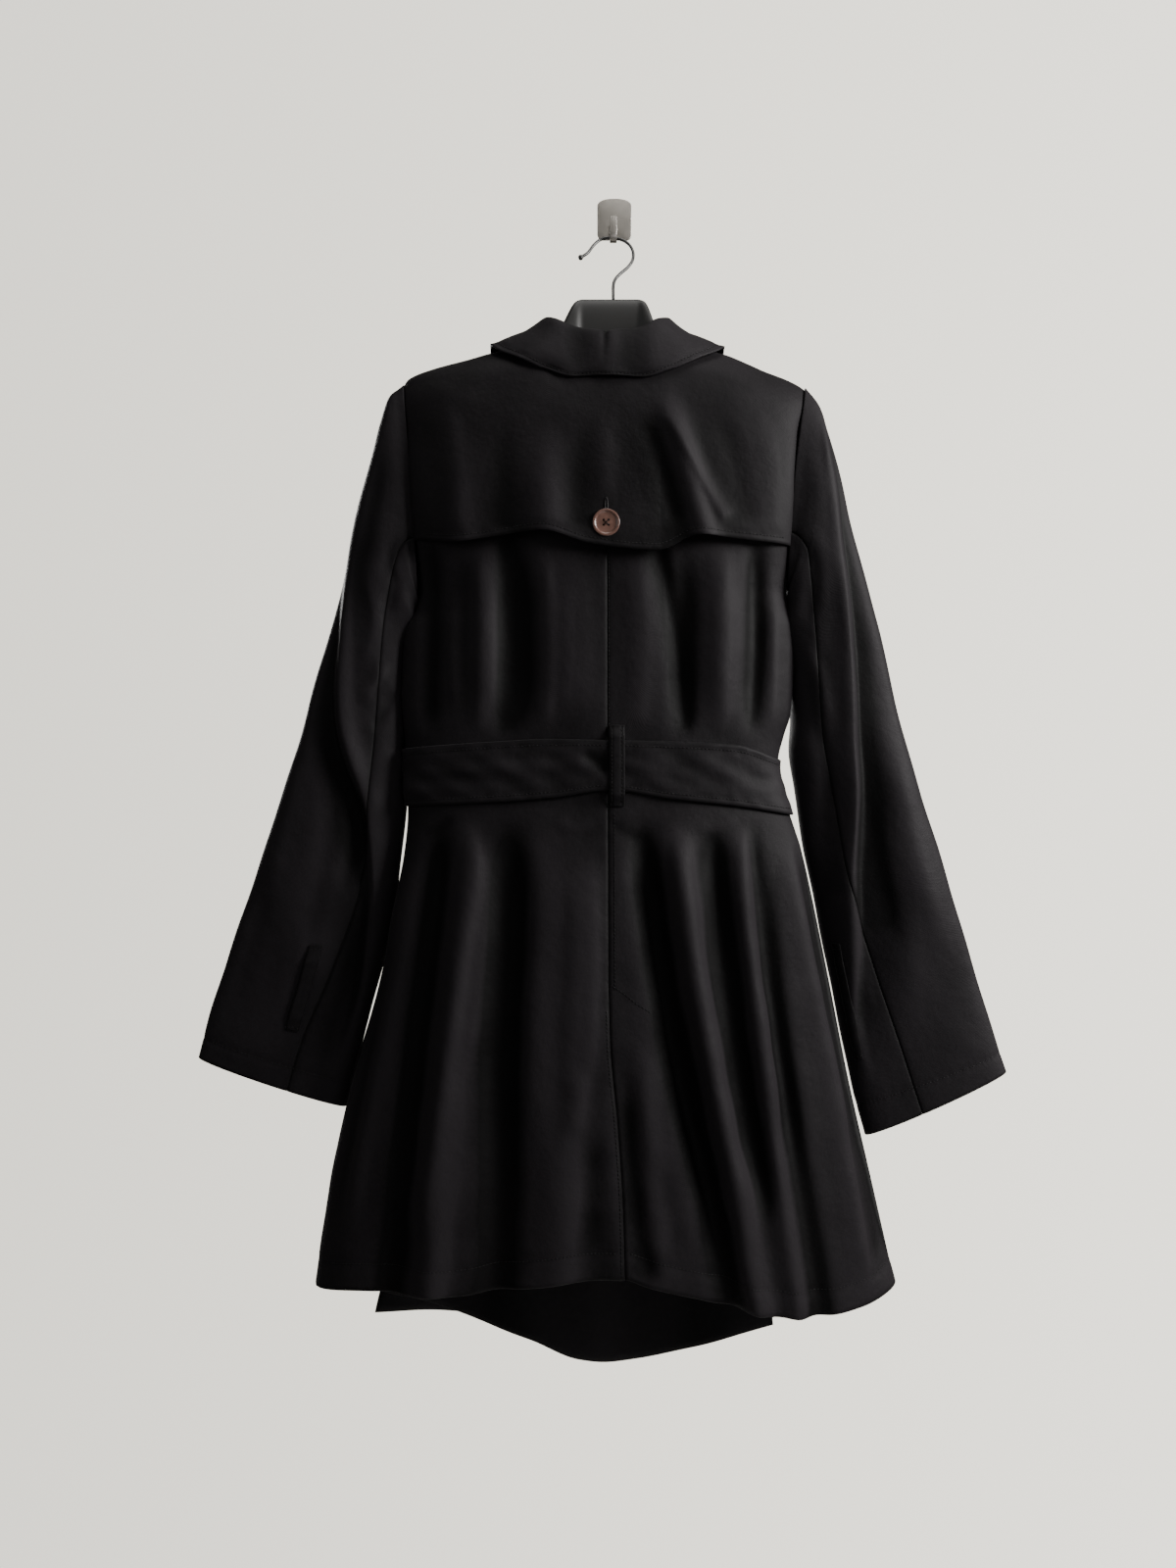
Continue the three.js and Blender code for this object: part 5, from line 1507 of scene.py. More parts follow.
    def build(self, wardrobe: Wardrobe, stitcher: Stitcher) -> None:
        """Builds and dresses the collar and its stitching."""
        a, b = grid(220, 56)
        piece = cloth_wall("collar_fall_back", self.fall(a, b, 0.0), self.fall(a, b, -1.4))
        fit_out(piece, wardrobe.cloth, Slot.CLOTH, "collar_fall")
        a, b = grid(160, 12)
        piece = cloth_wall("collar_stand_back", self.stand(a, b, 0.0), self.stand(a, b, -LIGHT_CLOTH))
        fit_out(piece, wardrobe.cloth, Slot.CLOTH, "collar_stand")
        along = np.linspace(0.02, 0.98, 300)
        lines = [self.line(along, np.full(300, self.stitch_in))]
        down = np.linspace(0.45, 0.95, 60)
        lines += [self.line(np.full(60, end), down) for end in (0.018, 0.982)]
        stitcher.sew("stitching_collar", lines)


SLEEVE_ROWS = {
    Side.LEFT: (
        (-205.5, 187, -190.8, 388, 50, 24, 118, 3),
        (-216, 195, -194, 392, 50, 26, 118, 1.5),
        (-225, 220, -199, 398, 49, 28, 118, 0),
        (-239, 274, -203, 410, 47, 29, 118, 0),
        (-256, 340, -205.7, 433, 43, 28, 118, 0),
        (-273, 412, -207, 473, 40, 27, 118, 0),
        (-297, 491, -205, 525, 38, 26, 118, 0),
        (-324.5, 582, -206.3, 586, 36, 24.5, 119, 0),
        (-352, 664, -210.7, 662, 34, 22, 121, 0),
        (-378.5, 739, -226.8, 744, 29, 19, 114, 0),
        (-397, 793, -251.2, 832, 26, 17, 106, 0),
        (-408.5, 835, -263.6, 883, 25, 16, 104, 0),
    ),
    Side.RIGHT: (
        (184.6, 190, 166.2, 380, 50, 24, 118, 5.9),
        (195, 205, 170.4, 385, 50, 26, 118, 3),
        (203, 228, 173, 394, 49, 28, 118, 0),
        (217, 274, 173.2, 417, 46, 29, 118, 0),
        (232.5, 339, 172.8, 450, 43, 28, 118, 0),
        (252.5, 412, 171, 487, 40, 27, 118, 0),
        (272.5, 491, 169.2, 530, 38, 26, 118, 0),
        (298.5, 582, 174.5, 572, 36, 24.5, 119, 0),
        (325, 664, 184, 632, 34, 22, 121, 0),
        (348, 736, 207.6, 744, 29, 19, 114, 0),
        (370, 808, 228.2, 846, 26, 17, 106, 0),
        (384, 849, 245.4, 911, 25, 16, 104, 0),
    ),
}
SLEEVE_FOLDS = {
    Side.LEFT: ((0.36, 1.0), (0.45, 0.82), (0.55, 0.6), (0.64, 0.27), (0.74, 0.13), (0.86, 0.05)),
    Side.RIGHT: (
        (0.1, 1.0), (0.28, 0.79), (0.42, 0.66), (0.54, 0.54), (0.64, 0.43), (0.75, 0.26), (0.86, 0.08)
    ),
}
SLEEVE_CREASES = {
    Side.LEFT: creases(
        (((-206, 330), (-214, 360), (-209, 384), (-222, 420)), 7, -2.6, 0.2),
        (((-222, 330), (-234, 372), (-228, 410), (-238, 460)), 8, 2.2, -0.3),
        (((-209, 474), (-219, 498), (-232, 519)), 6, -2.4, 0.2),
        (((-214, 452), (-228, 474), (-244, 492)), 6, 2.0, 0.2),
        (((-212, 520), (-224, 560), (-230, 610)), 8, 1.8, 0.2),
        (((-232, 240), (-244, 300), (-256, 370)), 12, 1.8, 0.2),
        (((-222, 250), (-230, 310), (-240, 380)), 9, -1.6, 0.2),
        (((-262, 410), (-280, 470), (-292, 540)), 9, -1.8, 0.2),
        (((-300, 520), (-318, 600), (-340, 690)), 14, 2.2, 0.3),
        (((-272, 600), (-286, 680), (-300, 740)), 12, -1.6, 0.2),
        (((-330, 640), (-352, 720), (-374, 790)), 14, -1.4, 0.2),
        (((-246, 560), (-250, 620), (-262, 680)), 9, -2.0, -0.3),
        (((-300, 700), (-312, 760), (-326, 806)), 10, 1.2, 0.2),
    ),
    Side.RIGHT: creases(
        (((190, 250), (200, 315), (206, 400)), 9, 1.8, 0.3),
        (((176, 330), (186, 372), (180, 420)), 8, -2.2, 0.2),
        (((178, 430), (194, 470), (204, 520)), 8, 1.8, 0.2),
        (((186, 500), (200, 540), (204, 600)), 8, -1.8, 0.2),
        (((230, 300), (244, 380), (262, 460)), 12, 1.8, -0.2),
        (((246, 420), (262, 500), (284, 580)), 12, -1.8, 0.2),
        (((266, 540), (292, 640), (318, 730)), 14, 2.0, 0.2),
        (((240, 560), (250, 640), (276, 740)), 10, -1.6, 0.2),
        (((300, 600), (330, 700), (356, 790)), 13, -1.3, 0.2),
        (((220, 640), (232, 720), (252, 800)), 10, 1.8, 0.2),
    ),
}


@dataclass
class Sleeve:
    """One sleeve of a top and an under piece.

    A turn runs round it in degrees: 0 at the outer edge, above 0 on the back, 180 at the inner
    edge. t runs down it from 0 to 1.

    Attributes:
        side: the wearer's side.
        front_seam: how far round on the front its seam lies from the outer edge, in degrees.
        gap: gap of the front seam and half the gap of the back seam, in degrees.
        head_reach: how far the head reaches over the shoulder.
        tuck, tuck_end: how far the inner edge is drawn off the body, and down to which t.
        armpit: the same under the arm.
        rows: rows of its grid.
        length: rough length of its middle line.
        cuff_stitch: height of the stitched row over the cuff's edge.
        pucker: puckers along the stitched row.
        loop: turn, first and last t, and half width in degrees of the carrier loop.
        loop_bow: how far the loop stands off in its middle.
    """

    side: Side
    front_seam: float = 116.0
    gap: float = 0.25
    head_reach: float = 2.2
    tuck: float = 4.5
    tuck_end: float = 0.72
    armpit: float = 8.0
    rows: int = 165
    length: float = 690.0
    cuff_stitch: float = 31.0
    pucker: Pucker = Pucker(1 / 0.9, 2, 1 / 0.13, 0.22, 0.6, 2.8)
    loop: tuple = ()
    loop_bow: float = 2.2

    def __post_init__(self) -> None:
        """Fits the sleeve's curves."""
        table = SLEEVE_ROWS[self.side]
        steps = np.linspace(0, 1, len(table))
        rows = [(t, *row) for t, row in zip(steps, table)]
        self.curves = [Curve(rows, k) for k in range(1, 9)]
        self.fold = Curve(SLEEVE_FOLDS[self.side])
        self.ripple = Ripple(53 if self.side is Side.LEFT else 59, 75, 0.6)

    def surface(self, turn: Array, t: Array) -> Array:
        """Points of the sleeve's outer form, with its long fold."""
        outer_x, outer_drop, inner_x, inner_drop, deep, half, _, bow = (curve(t) for curve in self.curves)
        angle = np.radians(turn)
        across, rounded = (1 + np.cos(angle)) / 2, np.sin(angle)
        # The long fold rises up to its edge, steps down behind it and comes back slowly.
        off = across - self.fold(t)
        beyond = 5.0 - 12.5 * ease(off / 0.09) + 7.5 * rise(off, 0.06, 0.4)
        fold = np.where(off < 0, 5.0 * bell(off, 0.13), beyond)
        shown = between(t, 0.08, 0.12, 0.95, 0.15) * np.maximum(rounded, 0)
        hidden = 2.4 * np.sin(off * 9) * between(t, 0.1, 0.2, 0.96, 0.2) * np.maximum(-rounded, 0)
        x = lerp(inner_x, outer_x, across) - self.side.value * bow * rounded**2
        # The inner edge is drawn off the body: at the head, down the arm and under the arm.
        head = 1 - ease(t / 0.035)
        inner = 2.2 * between(t, 0.0, 0.03, 0.42, 0.3)
        inner = inner + self.tuck * between(t, 0.2, 0.12, self.tuck_end, 0.1)
        inner = inner + self.armpit * between(t, 0.06, 0.1, 0.4, 0.12)
        x = x - self.side.value * (self.head_reach * head + inner * ease((0.3 - across) / 0.3))
        y = -deep - powered(rounded, 0.85) * half - fold * shown + hidden
        drop = lerp(inner_drop, outer_drop, across) - 2.2 * head * across
        return np.stack((x, y, -drop), -1)

    def relief(self, turn: Array, t: Array, points: Array) -> Array:
        """Height of the fine creases and of the stitched rows."""
        x, drop = points[..., 0], -points[..., 2]
        rounded = np.sin(np.radians(turn))
        back = relief_of(SLEEVE_CREASES[self.side], x, drop) * np.sqrt(np.maximum(rounded, 0))
        shifted = relief_of(SLEEVE_CREASES[self.side], x - self.side.value * 14, drop - 26)
        front = shifted * np.sqrt(np.maximum(-rounded, 0))
        calm = ease(t / 0.08) * ease((1 - t) / 0.1)
        high = (back + front + self.ripple(points)) * calm
        high = high + self.pucker.height(turn, (1 - t) * self.length - self.cuff_stitch)
        return high - 0.5 * bell(turn - self.curves[6](t), 2.4) * ease(t / 0.03)

    def place(self, turn: Array, t: Array, lift: Any) -> Array:
        """Points lifted off the sleeve's face."""
        base = self.surface(turn, t)
        normal = normals_of(self.surface, turn, t, 0.5, 0.002) * -self.side.value
        high = self.relief(turn, t, base) + lift
        return base + normal * np.asarray(high)[..., None]

    def piece(self, name: str, start: Callable, end: Callable, columns: int) -> Piece:
        """Builds one cut piece between two turns that depend on the back seam's turn."""
        a, b = grid(columns, self.rows)
        seam = self.curves[6](b)
        turn = lerp(start(seam), end(seam), a)
        return cloth_wall(name, self.place(turn, b, 0.0), self.place(turn, b, -CLOTH))

    def line(self, turn: Array, t: Array) -> tuple:
        """Points and normals along a line on the face."""
        return line_on(lambda lift: self.place(turn, t, lift))

    def carrier(self) -> Piece:
        """Builds the narrow carrier loop, sewn down at both ends."""
        middle, start, end, half = self.loop
        a, b = grid(10, 90)
        t = lerp(start, end, b)
        turn = middle + lerp(-half, half, a)
        stand = LAYER_GAP + self.loop_bow * ease(np.minimum(b, 1 - b) / 0.2)
        swell = 0.3 * np.sin(a * math.pi) + 0.12 * np.sin(b * 40)
        face = self.place(turn, t, stand + LIGHT_CLOTH + swell)
        return cloth_wall(f"sleeve_carrier_{self.side.word}", face, self.place(turn, t, stand))

    def build(self, wardrobe: Wardrobe, stitcher: Stitcher) -> None:
        """Builds and dresses the sleeve."""
        word = self.side.word
        front, gap = self.front_seam, self.gap
        top = self.piece(f"sleeve_{word}_top", lambda s: -front + 0 * s, lambda s: s - gap, 130)
        fit_out(top, wardrobe.cloth, Slot.CLOTH, f"sleeve_top_{word}")
        under = self.piece(f"sleeve_{word}_under", lambda s: s + gap, lambda s: 360 - front - gap + 0 * s, 70)
        fit_out(under, wardrobe.cloth, Slot.CLOTH, f"sleeve_under_{word}")
        loop = fit_out(self.carrier(), wardrobe.cloth, Slot.CLOTH, f"sleeve_loop_{word}")
        t_cuff = 1 - self.cuff_stitch / self.length
        turn = np.linspace(-front + 3, 360 - front - 3, 420)
        lines = [self.line(turn, np.full(420, t_cuff))]
        middle, start, end, half = self.loop
        for place in (start + 0.004, end - 0.004):
            bar = np.linspace(middle - half, middle + half, 8)
            face, out = self.line(bar, np.full(8, place))
            lines.append((face + out * (LAYER_GAP + LIGHT_CLOTH + 0.4), out))
        stitcher.sew(f"stitching_sleeve_{word}", lines)


BELT_CREASES = creases(
    (((-34, 534), (-14, 552), (-2, 560)), 5, -1.1, 0.3),
    (((12, 548), (40, 556), (78, 560)), 5, 0.9, 0.0),
    (((-150, 548), (-110, 560), (-60, 556)), 6, 0.8, 0.0),
)


@dataclass
class BeltSet:
    """The belt, its knot and ends in front, and the loop at the centre back."""

    rest: float = 0.9
    knot_x: float = -10.0
    knot_half: float = 21.0
    knot_top: float = 523.0
    knot_foot: float = 592.0
    knot_deep: float = 9.0
    tail_slant: float = 10.0
    gap_turn: float = 0.085
    level: float = 557.0
    stitch_in: float = 0.09
    stitch_wide: float = 0.045
    loop_play: float = 1.4
    loop_box: tuple = (-6.6, 7.2, 513.0, 588.0)
    tails: tuple = (
        ("left", -21, -62, 593, 838, 20),
        ("right", 1, 44, 593, 860, 20),
    )
    ripple: Ripple = field(default_factory=lambda: Ripple(71, 42, 0.6))

    def __post_init__(self) -> None:
        """Fits the belt's edges."""
        self.top = Curve(BELT, 1)
        self.foot = Curve(BELT, 2)

    def point(self, a: Array, b: Array, lift: Any) -> Array:
        """Points of the belt's run round the body, from one side of the knot to the other."""
        end = FORM.turn_at(self.knot_x, self.level)
        around = lerp(end - self.gap_turn, end + self.gap_turn - 4, a)
        is_back = (around < -1) & (around > -3)
        w = np.where(is_back, -2 - around, np.where(around < -3, around + 4, around))
        share = FORM.share(w)
        x = FORM.middle(self.level) + FORM.half(self.level) * share
        drop = lerp(self.top(x), self.foot(x), b)
        below = drop - FORM.ridge(share)
        front = (self.rest + RIGHT_OVER_LEFT) * ease((1 - np.abs(share)) / 0.12)
        rest = np.where(is_back, self.rest, np.maximum(self.rest, front))
        edges = bell(b - self.stitch_in, self.stitch_wide) + bell(1 - b - self.stitch_in, self.stitch_wide)
        run = x * np.where(is_back, 1.0, -1.0)
        pucker = (wavy(run, 3.9, 2.2, 17) * 0.3 - 0.35) * edges
        bulk = np.sin(math.pi * b)
        wave = self.ripple(np.stack((run, drop * 1.6, np.where(is_back, 0.0, 90.0)), -1)) * bulk
        high = pucker + 0.6 * bulk + wave + np.where(is_back, relief_of(BELT_CREASES, x, drop), 0.0)
        is_outer = np.asarray(lift > 0.5)
        return FORM.on_skin(w, np.where(is_back, below, -below), rest + high * is_outer + lift)

    def run(self) -> Piece:
        """Builds the belt's run."""
        a, b = grid(520, 20)
        face = self.point(a, b, BELT_THICK)
        return cloth_wall("belt_round_waist", face, self.point(a, b, 0.2))

    def knot(self, fronts: FrontPanels) -> Piece:
        """Builds the tied knot: a swollen band with two wraps across it."""
        rows, sides = 90, 96
        t, angle = np.meshgrid(
            np.linspace(0, 1, rows), np.linspace(0, 2 * math.pi, sides, endpoint=False), indexing="ij"
        )
        drop = lerp(self.knot_top, self.knot_foot, t)
        swell = 0.62 + 0.38 * np.sin(math.pi * t) ** 0.7
        seat = fronts.at(Side.RIGHT, np.full(t.shape, self.knot_x), drop, self.rest)[..., 1]
        flat = powered(np.sin(angle), 0.6)
        x = self.knot_x + self.knot_half * swell * np.cos(angle) * 0.86
        lie = (x - self.knot_x) / self.knot_half
        broad = np.sin((t * 2.2 + lie * 0.35) * 2 * math.pi) * 0.9
        wrap = broad + np.sin((t * 5.3 - lie * 0.9) * math.pi) * 0.5
        y = seat + self.knot_deep * swell * (0.5 + 0.5 * flat) + wrap * np.maximum(flat, 0)
        points = np.stack((x, y, -drop), -1).reshape(-1, 3)
        piece = mesh_object("belt_knot_tied", points, tube_faces(rows, sides))
        close_ends(piece)
        return piece

    def tail(self, fronts: FrontPanels, row: tuple) -> Piece:
        """Builds one hanging end of the belt."""
        word, x0, x1, top, foot, half_width = row
        a, b = grid(20, 110)
        half = half_width * (0.5 + 0.5 * ease(b * 4))
        slant = (a - 0.5) * self.tail_slant * b
        x = lerp(x0, x1, b) + lerp(-half, half, a)
        drop = lerp(top, foot, b) - slant
        gather = np.cos(a * 6 * math.pi) * 0.7 * (1 - ease(b * 3)) + 0.6 * np.sin(a * math.pi)
        wave = self.ripple(np.stack((x, drop, np.full(x.shape, 40.0)), -1)) * 0.6
        face = fronts.at(Side.RIGHT, x, drop, self.rest + BELT_THICK - 0.6 + gather + wave)
        lining = fronts.at(Side.RIGHT, x, drop, self.rest)
        return cloth_wall(f"belt_tail_{word}", face, lining)

    def loop_stand(self, b: Array) -> Array:
        """How far the loop's inner side stands off the back, from its top to its foot."""
        over = self.rest + BELT_THICK + self.loop_play
        return LAYER_GAP + (over - LAYER_GAP) * ease(np.minimum(b, 1 - b) / 0.15)

    def loop(self, back: BackPanels) -> Piece:
        """Builds the loop at the centre back."""
        a, b = grid(16, 110)
        left, right, top, foot = self.loop_box
        drop = lerp(top, foot, b)
        x = lerp(left, right, a)
        stand = self.loop_stand(b)
        swell = 0.45 * np.sin(a * math.pi) - 0.35 * bell(np.minimum(a, 1 - a) - 0.17, 0.07)
        face = back.at(x, drop, stand + LIGHT_CLOTH + swell)
        return cloth_wall("belt_carrier_back", face, back.at(x, drop, stand))

    def build(self, wardrobe: Wardrobe, stitcher: Stitcher, back: BackPanels, fronts: FrontPanels) -> None:
        """Builds and dresses the belt's pieces."""
        belt = fit_out(self.run(), wardrobe.cloth, Slot.CLOTH, "belt")
        knot = fit_out(self.knot(fronts), wardrobe.cloth, Slot.CLOTH, "belt_knot")
        knot.data.attributes.new("edge", "FLOAT", "POINT")
        for row in self.tails:
            piece = fit_out(self.tail(fronts, row), wardrobe.cloth, Slot.CLOTH, f"belt_end_{row[0]}")
        loop = fit_out(self.loop(back), wardrobe.cloth, Slot.CLOTH, "belt_loop_back")
        a = np.linspace(0.004, 0.996, 900)
        lines = []
        for b in (self.stitch_in, 1 - self.stitch_in):
            row = np.full(a.shape, b)
            lines.append(line_on(lambda lift: self.point(a, row, BELT_THICK + lift)))
        stitcher.sew("stitching_belt", lines)
        left, right, top, foot = self.loop_box
        lines = []
        drop = np.linspace(top + 3, foot - 3, 60)
        stand = self.loop_stand((drop - top) / (foot - top)) + LIGHT_CLOTH
        for x in (left + 2.3, right - 2.3):
            place = np.full(60, x)
            lines.append(line_on(lambda lift: back.at(place, drop, stand + lift)))
        stitcher.sew("stitching_belt_carrier", lines)


def close_ends(piece: Piece) -> None:
    """Caps the open rings of a tube and turns its faces outwards."""
    select_only(piece)
    bpy.ops.object.mode_set(mode="EDIT")
    bpy.ops.mesh.select_mode(type="EDGE")
    bpy.ops.mesh.select_all(action="DESELECT")
    bpy.ops.mesh.select_non_manifold(extend=False)
    bpy.ops.mesh.edge_face_add()
    bpy.ops.mesh.select_all(action="SELECT")
    bpy.ops.mesh.normals_make_consistent(inside=False)
    bpy.ops.object.mode_set(mode="OBJECT")


def smooth_by_angle(piece: Piece, degrees: float) -> None:
    """Shades a hard piece smooth, with its corners kept."""
    select_only(piece)
    bpy.ops.object.shade_smooth_by_angle(angle=math.radians(degrees))


def add_modifier(piece: Piece, kind: str, **settings: Any) -> None:
    """Adds a modifier and applies it."""
    select_only(piece)
    modifier = piece.modifiers.new(kind.lower(), kind)
    for key, value in settings.items():
        setattr(modifier, key, value)
    bpy.ops.object.modifier_apply(modifier=modifier.name)


def bevel(piece: Piece, width: float, segments: int, degrees: float) -> None:
    """Rounds the edges whose faces meet at more than an angle; width in millimetres."""
    limit = math.radians(degrees)
    add_modifier(piece, "BEVEL", width=width * MM, segments=segments, limit_method="ANGLE", angle_limit=limit)


def join(piece: Piece, other: Piece, operation: str) -> None:
    """Adds another object to a piece or cuts it out of it, and removes it."""
    add_modifier(piece, "BOOLEAN", operation=operation, object=other, solver="EXACT")
    bpy.data.objects.remove(other)


@dataclass
class Buttons:
    """Seven four-hole buttons: one on the storm flap and six on the front."""

    radius: float = 12.5
    thick: float = 3.4
    rim: float = 2.1
    hole_radius: float = 1.1
    hole_out: float = 2.3
    segments: int = 64
    edge_round: float = 0.55
    inner_rim: float = 0.7
    dish: float = 0.9
    middle_in: float = 4.2
    middle_sink: float = 0.25
    thread_radius: float = 0.3
    names: tuple = ("back_button",) + tuple(
        f"front_button_{row}_{word}" for row in (1, 2, 3) for word in ("left", "right")
    )

    def disc(self) -> Piece:
        """Models one button at the origin, its face towards +Z."""
        for other in list(bpy.context.selected_objects):
            other.select_set(False)
        middle = (0, 0, self.thick / 2 * MM)
        bpy.ops.mesh.primitive_cylinder_add(
            vertices=self.segments, radius=self.radius * MM, depth=self.thick * MM, location=middle
        )
        bpy.ops.object.transform_apply(location=True, rotation=False, scale=False)
        piece = bpy.context.object
        bpy.ops.object.mode_set(mode="EDIT")
        bpy.ops.mesh.select_mode(type="FACE")
        bpy.ops.mesh.select_all(action="DESELECT")
        bm = bmesh.from_edit_mesh(piece.data)
        for face in bm.faces:
            face.select_set(face.normal.z > 0.9)
        bmesh.update_edit_mesh(piece.data)
        bpy.ops.mesh.inset(thickness=self.rim * MM)
        bpy.ops.mesh.inset(thickness=self.inner_rim * MM)
        bpy.ops.transform.translate(value=(0, 0, -self.dish * MM))
        bpy.ops.mesh.inset(thickness=self.middle_in * MM)
        bpy.ops.transform.translate(value=(0, 0, -self.middle_sink * MM))
        bpy.ops.object.mode_set(mode="OBJECT")
        bevel(piece, self.edge_round, 4, 35)
        for sx, sy in ((1, 1), (1, -1), (-1, 1), (-1, -1)):
            spot = (sx * self.hole_out * MM, sy * self.hole_out * MM, 0)
            hole = self.hole_radius * MM
            bpy.ops.mesh.primitive_cylinder_add(vertices=20, radius=hole, depth=0.02, location=spot)
            join(piece, bpy.context.object, "DIFFERENCE")
        return piece

    def threads(self) -> tuple:
        """Points and faces of the threads that cross between the holes."""
        points, faces = [], []
        sides = 8
        for x0, y0, x1, y1 in ((-1, -1, 1, 1), (-1, 1, 1, -1)):
            for shift in (-0.35, 0.35):
                t = np.linspace(0, 1, 9)
                out = self.hole_out
                line = np.stack(
                    (
                        lerp(x0 * out, x1 * out, t) + shift * (y0 - y1) / -2,
                        lerp(y0 * out, y1 * out, t) + shift,
                        self.thick - 1.3 + np.sin(t * math.pi) * (0.75 if y0 < 0 else 0.95),
                    ),
                    1,
                )
                along = unit(np.gradient(line, axis=0))
                across = unit(np.cross(along, (0, 0, 1)))
                faces.append(tube_faces(len(line), sides) + sum(len(p) for p in points))
                spoke = spokes(across, np.cross(across, along), sides)
                points.append((line[:, None] + spoke * self.thread_radius).reshape(-1, 3))
        return np.vstack(points), np.vstack(faces)

    def seat(self, node: str) -> Matrix:
        """Where a CAD button sits and which way it faces, from its mesh."""
        mesh = frame["nodes"][node].data
        points = np.zeros(len(mesh.vertices) * 3)
        mesh.vertices.foreach_get("co", points)
        points = np.unique(points.reshape(-1, 3).round(6), axis=0)
        centre = points.mean(axis=0)
        axis = np.linalg.svd(points - centre)[2][2]
        outward = -1.0 if node.startswith("back") else 1.0
        axis *= 1.0 if axis[1] * outward > 0 else -1.0
        low = ((points - centre) @ axis).min()
        foot = Vector(centre + axis * low)
        z = Vector(axis)
        x = Vector((1, 0, 0)) - z * z.x
        x.normalize()
        return Matrix.Translation(foot) @ Matrix((x, z.cross(x), z)).transposed().to_4x4()

    def build(self, wardrobe: Wardrobe) -> None:
        """Builds and dresses every button, each with its own mesh."""
        disc = self.disc()
        points, faces = self.threads()
        for node in self.names:
            place = self.seat(node)
            piece = bpy.data.objects.new(f"{node}_turned", disc.data.copy())
            bpy.context.scene.collection.objects.link(piece)
            piece.data.transform(place)
            smooth_by_angle(piece, 38)
            fit_out(piece, wardrobe.button, Slot.BUTTON, node)
            thread = mesh_object(f"{node}_thread", points, faces)
            thread.data.transform(place)
            close_ends(thread)
            fit_out(thread, wardrobe.thread, Slot.CLOTH)
        bpy.data.objects.remove(disc)


HANGER_ROWS = (
    (-186, 192, 212, 54, 10), (-172, 183, 209, 55, 11), (-140, 173, 200, 55, 11),
    (-100, 163, 186, 54, 10.5), (-75, 155.5, 174, 52, 9), (-65, 153, 170, 51, 8.5), (-56, 140, 166, 49, 8),
    (-49, 121, 162, 47, 8), (-38, 102, 157, 45, 7.5), (-31, 99, 154, 42.4, 7.5), (21, 99, 154, 42.4, 7.5),
    (28, 102, 157, 45, 7.5), (37, 123, 162, 47, 8), (42, 147.5, 167, 50, 7.5), (47, 155, 171, 51.5, 7.8),
    (60, 157.5, 174, 52, 9), (92, 167, 188, 54, 10.5), (128, 181, 207, 55, 11), (156, 194, 218, 55, 11),
    (166, 201, 219, 54, 10),
)
WIRE_POINTS = (
    (-33.7, 47.6), (-26.6, 41.8), (-20.8, 32.4), (-13.7, 25.2), (-4, 22.9), (7.7, 25.8), (14.9, 32.6),
    (18.2, 41.8), (17.4, 51.2), (12.6, 59.7), (5.3, 67.4), (0.2, 74.4), (-1.8, 82.5), (-2.0, 98.75),
)


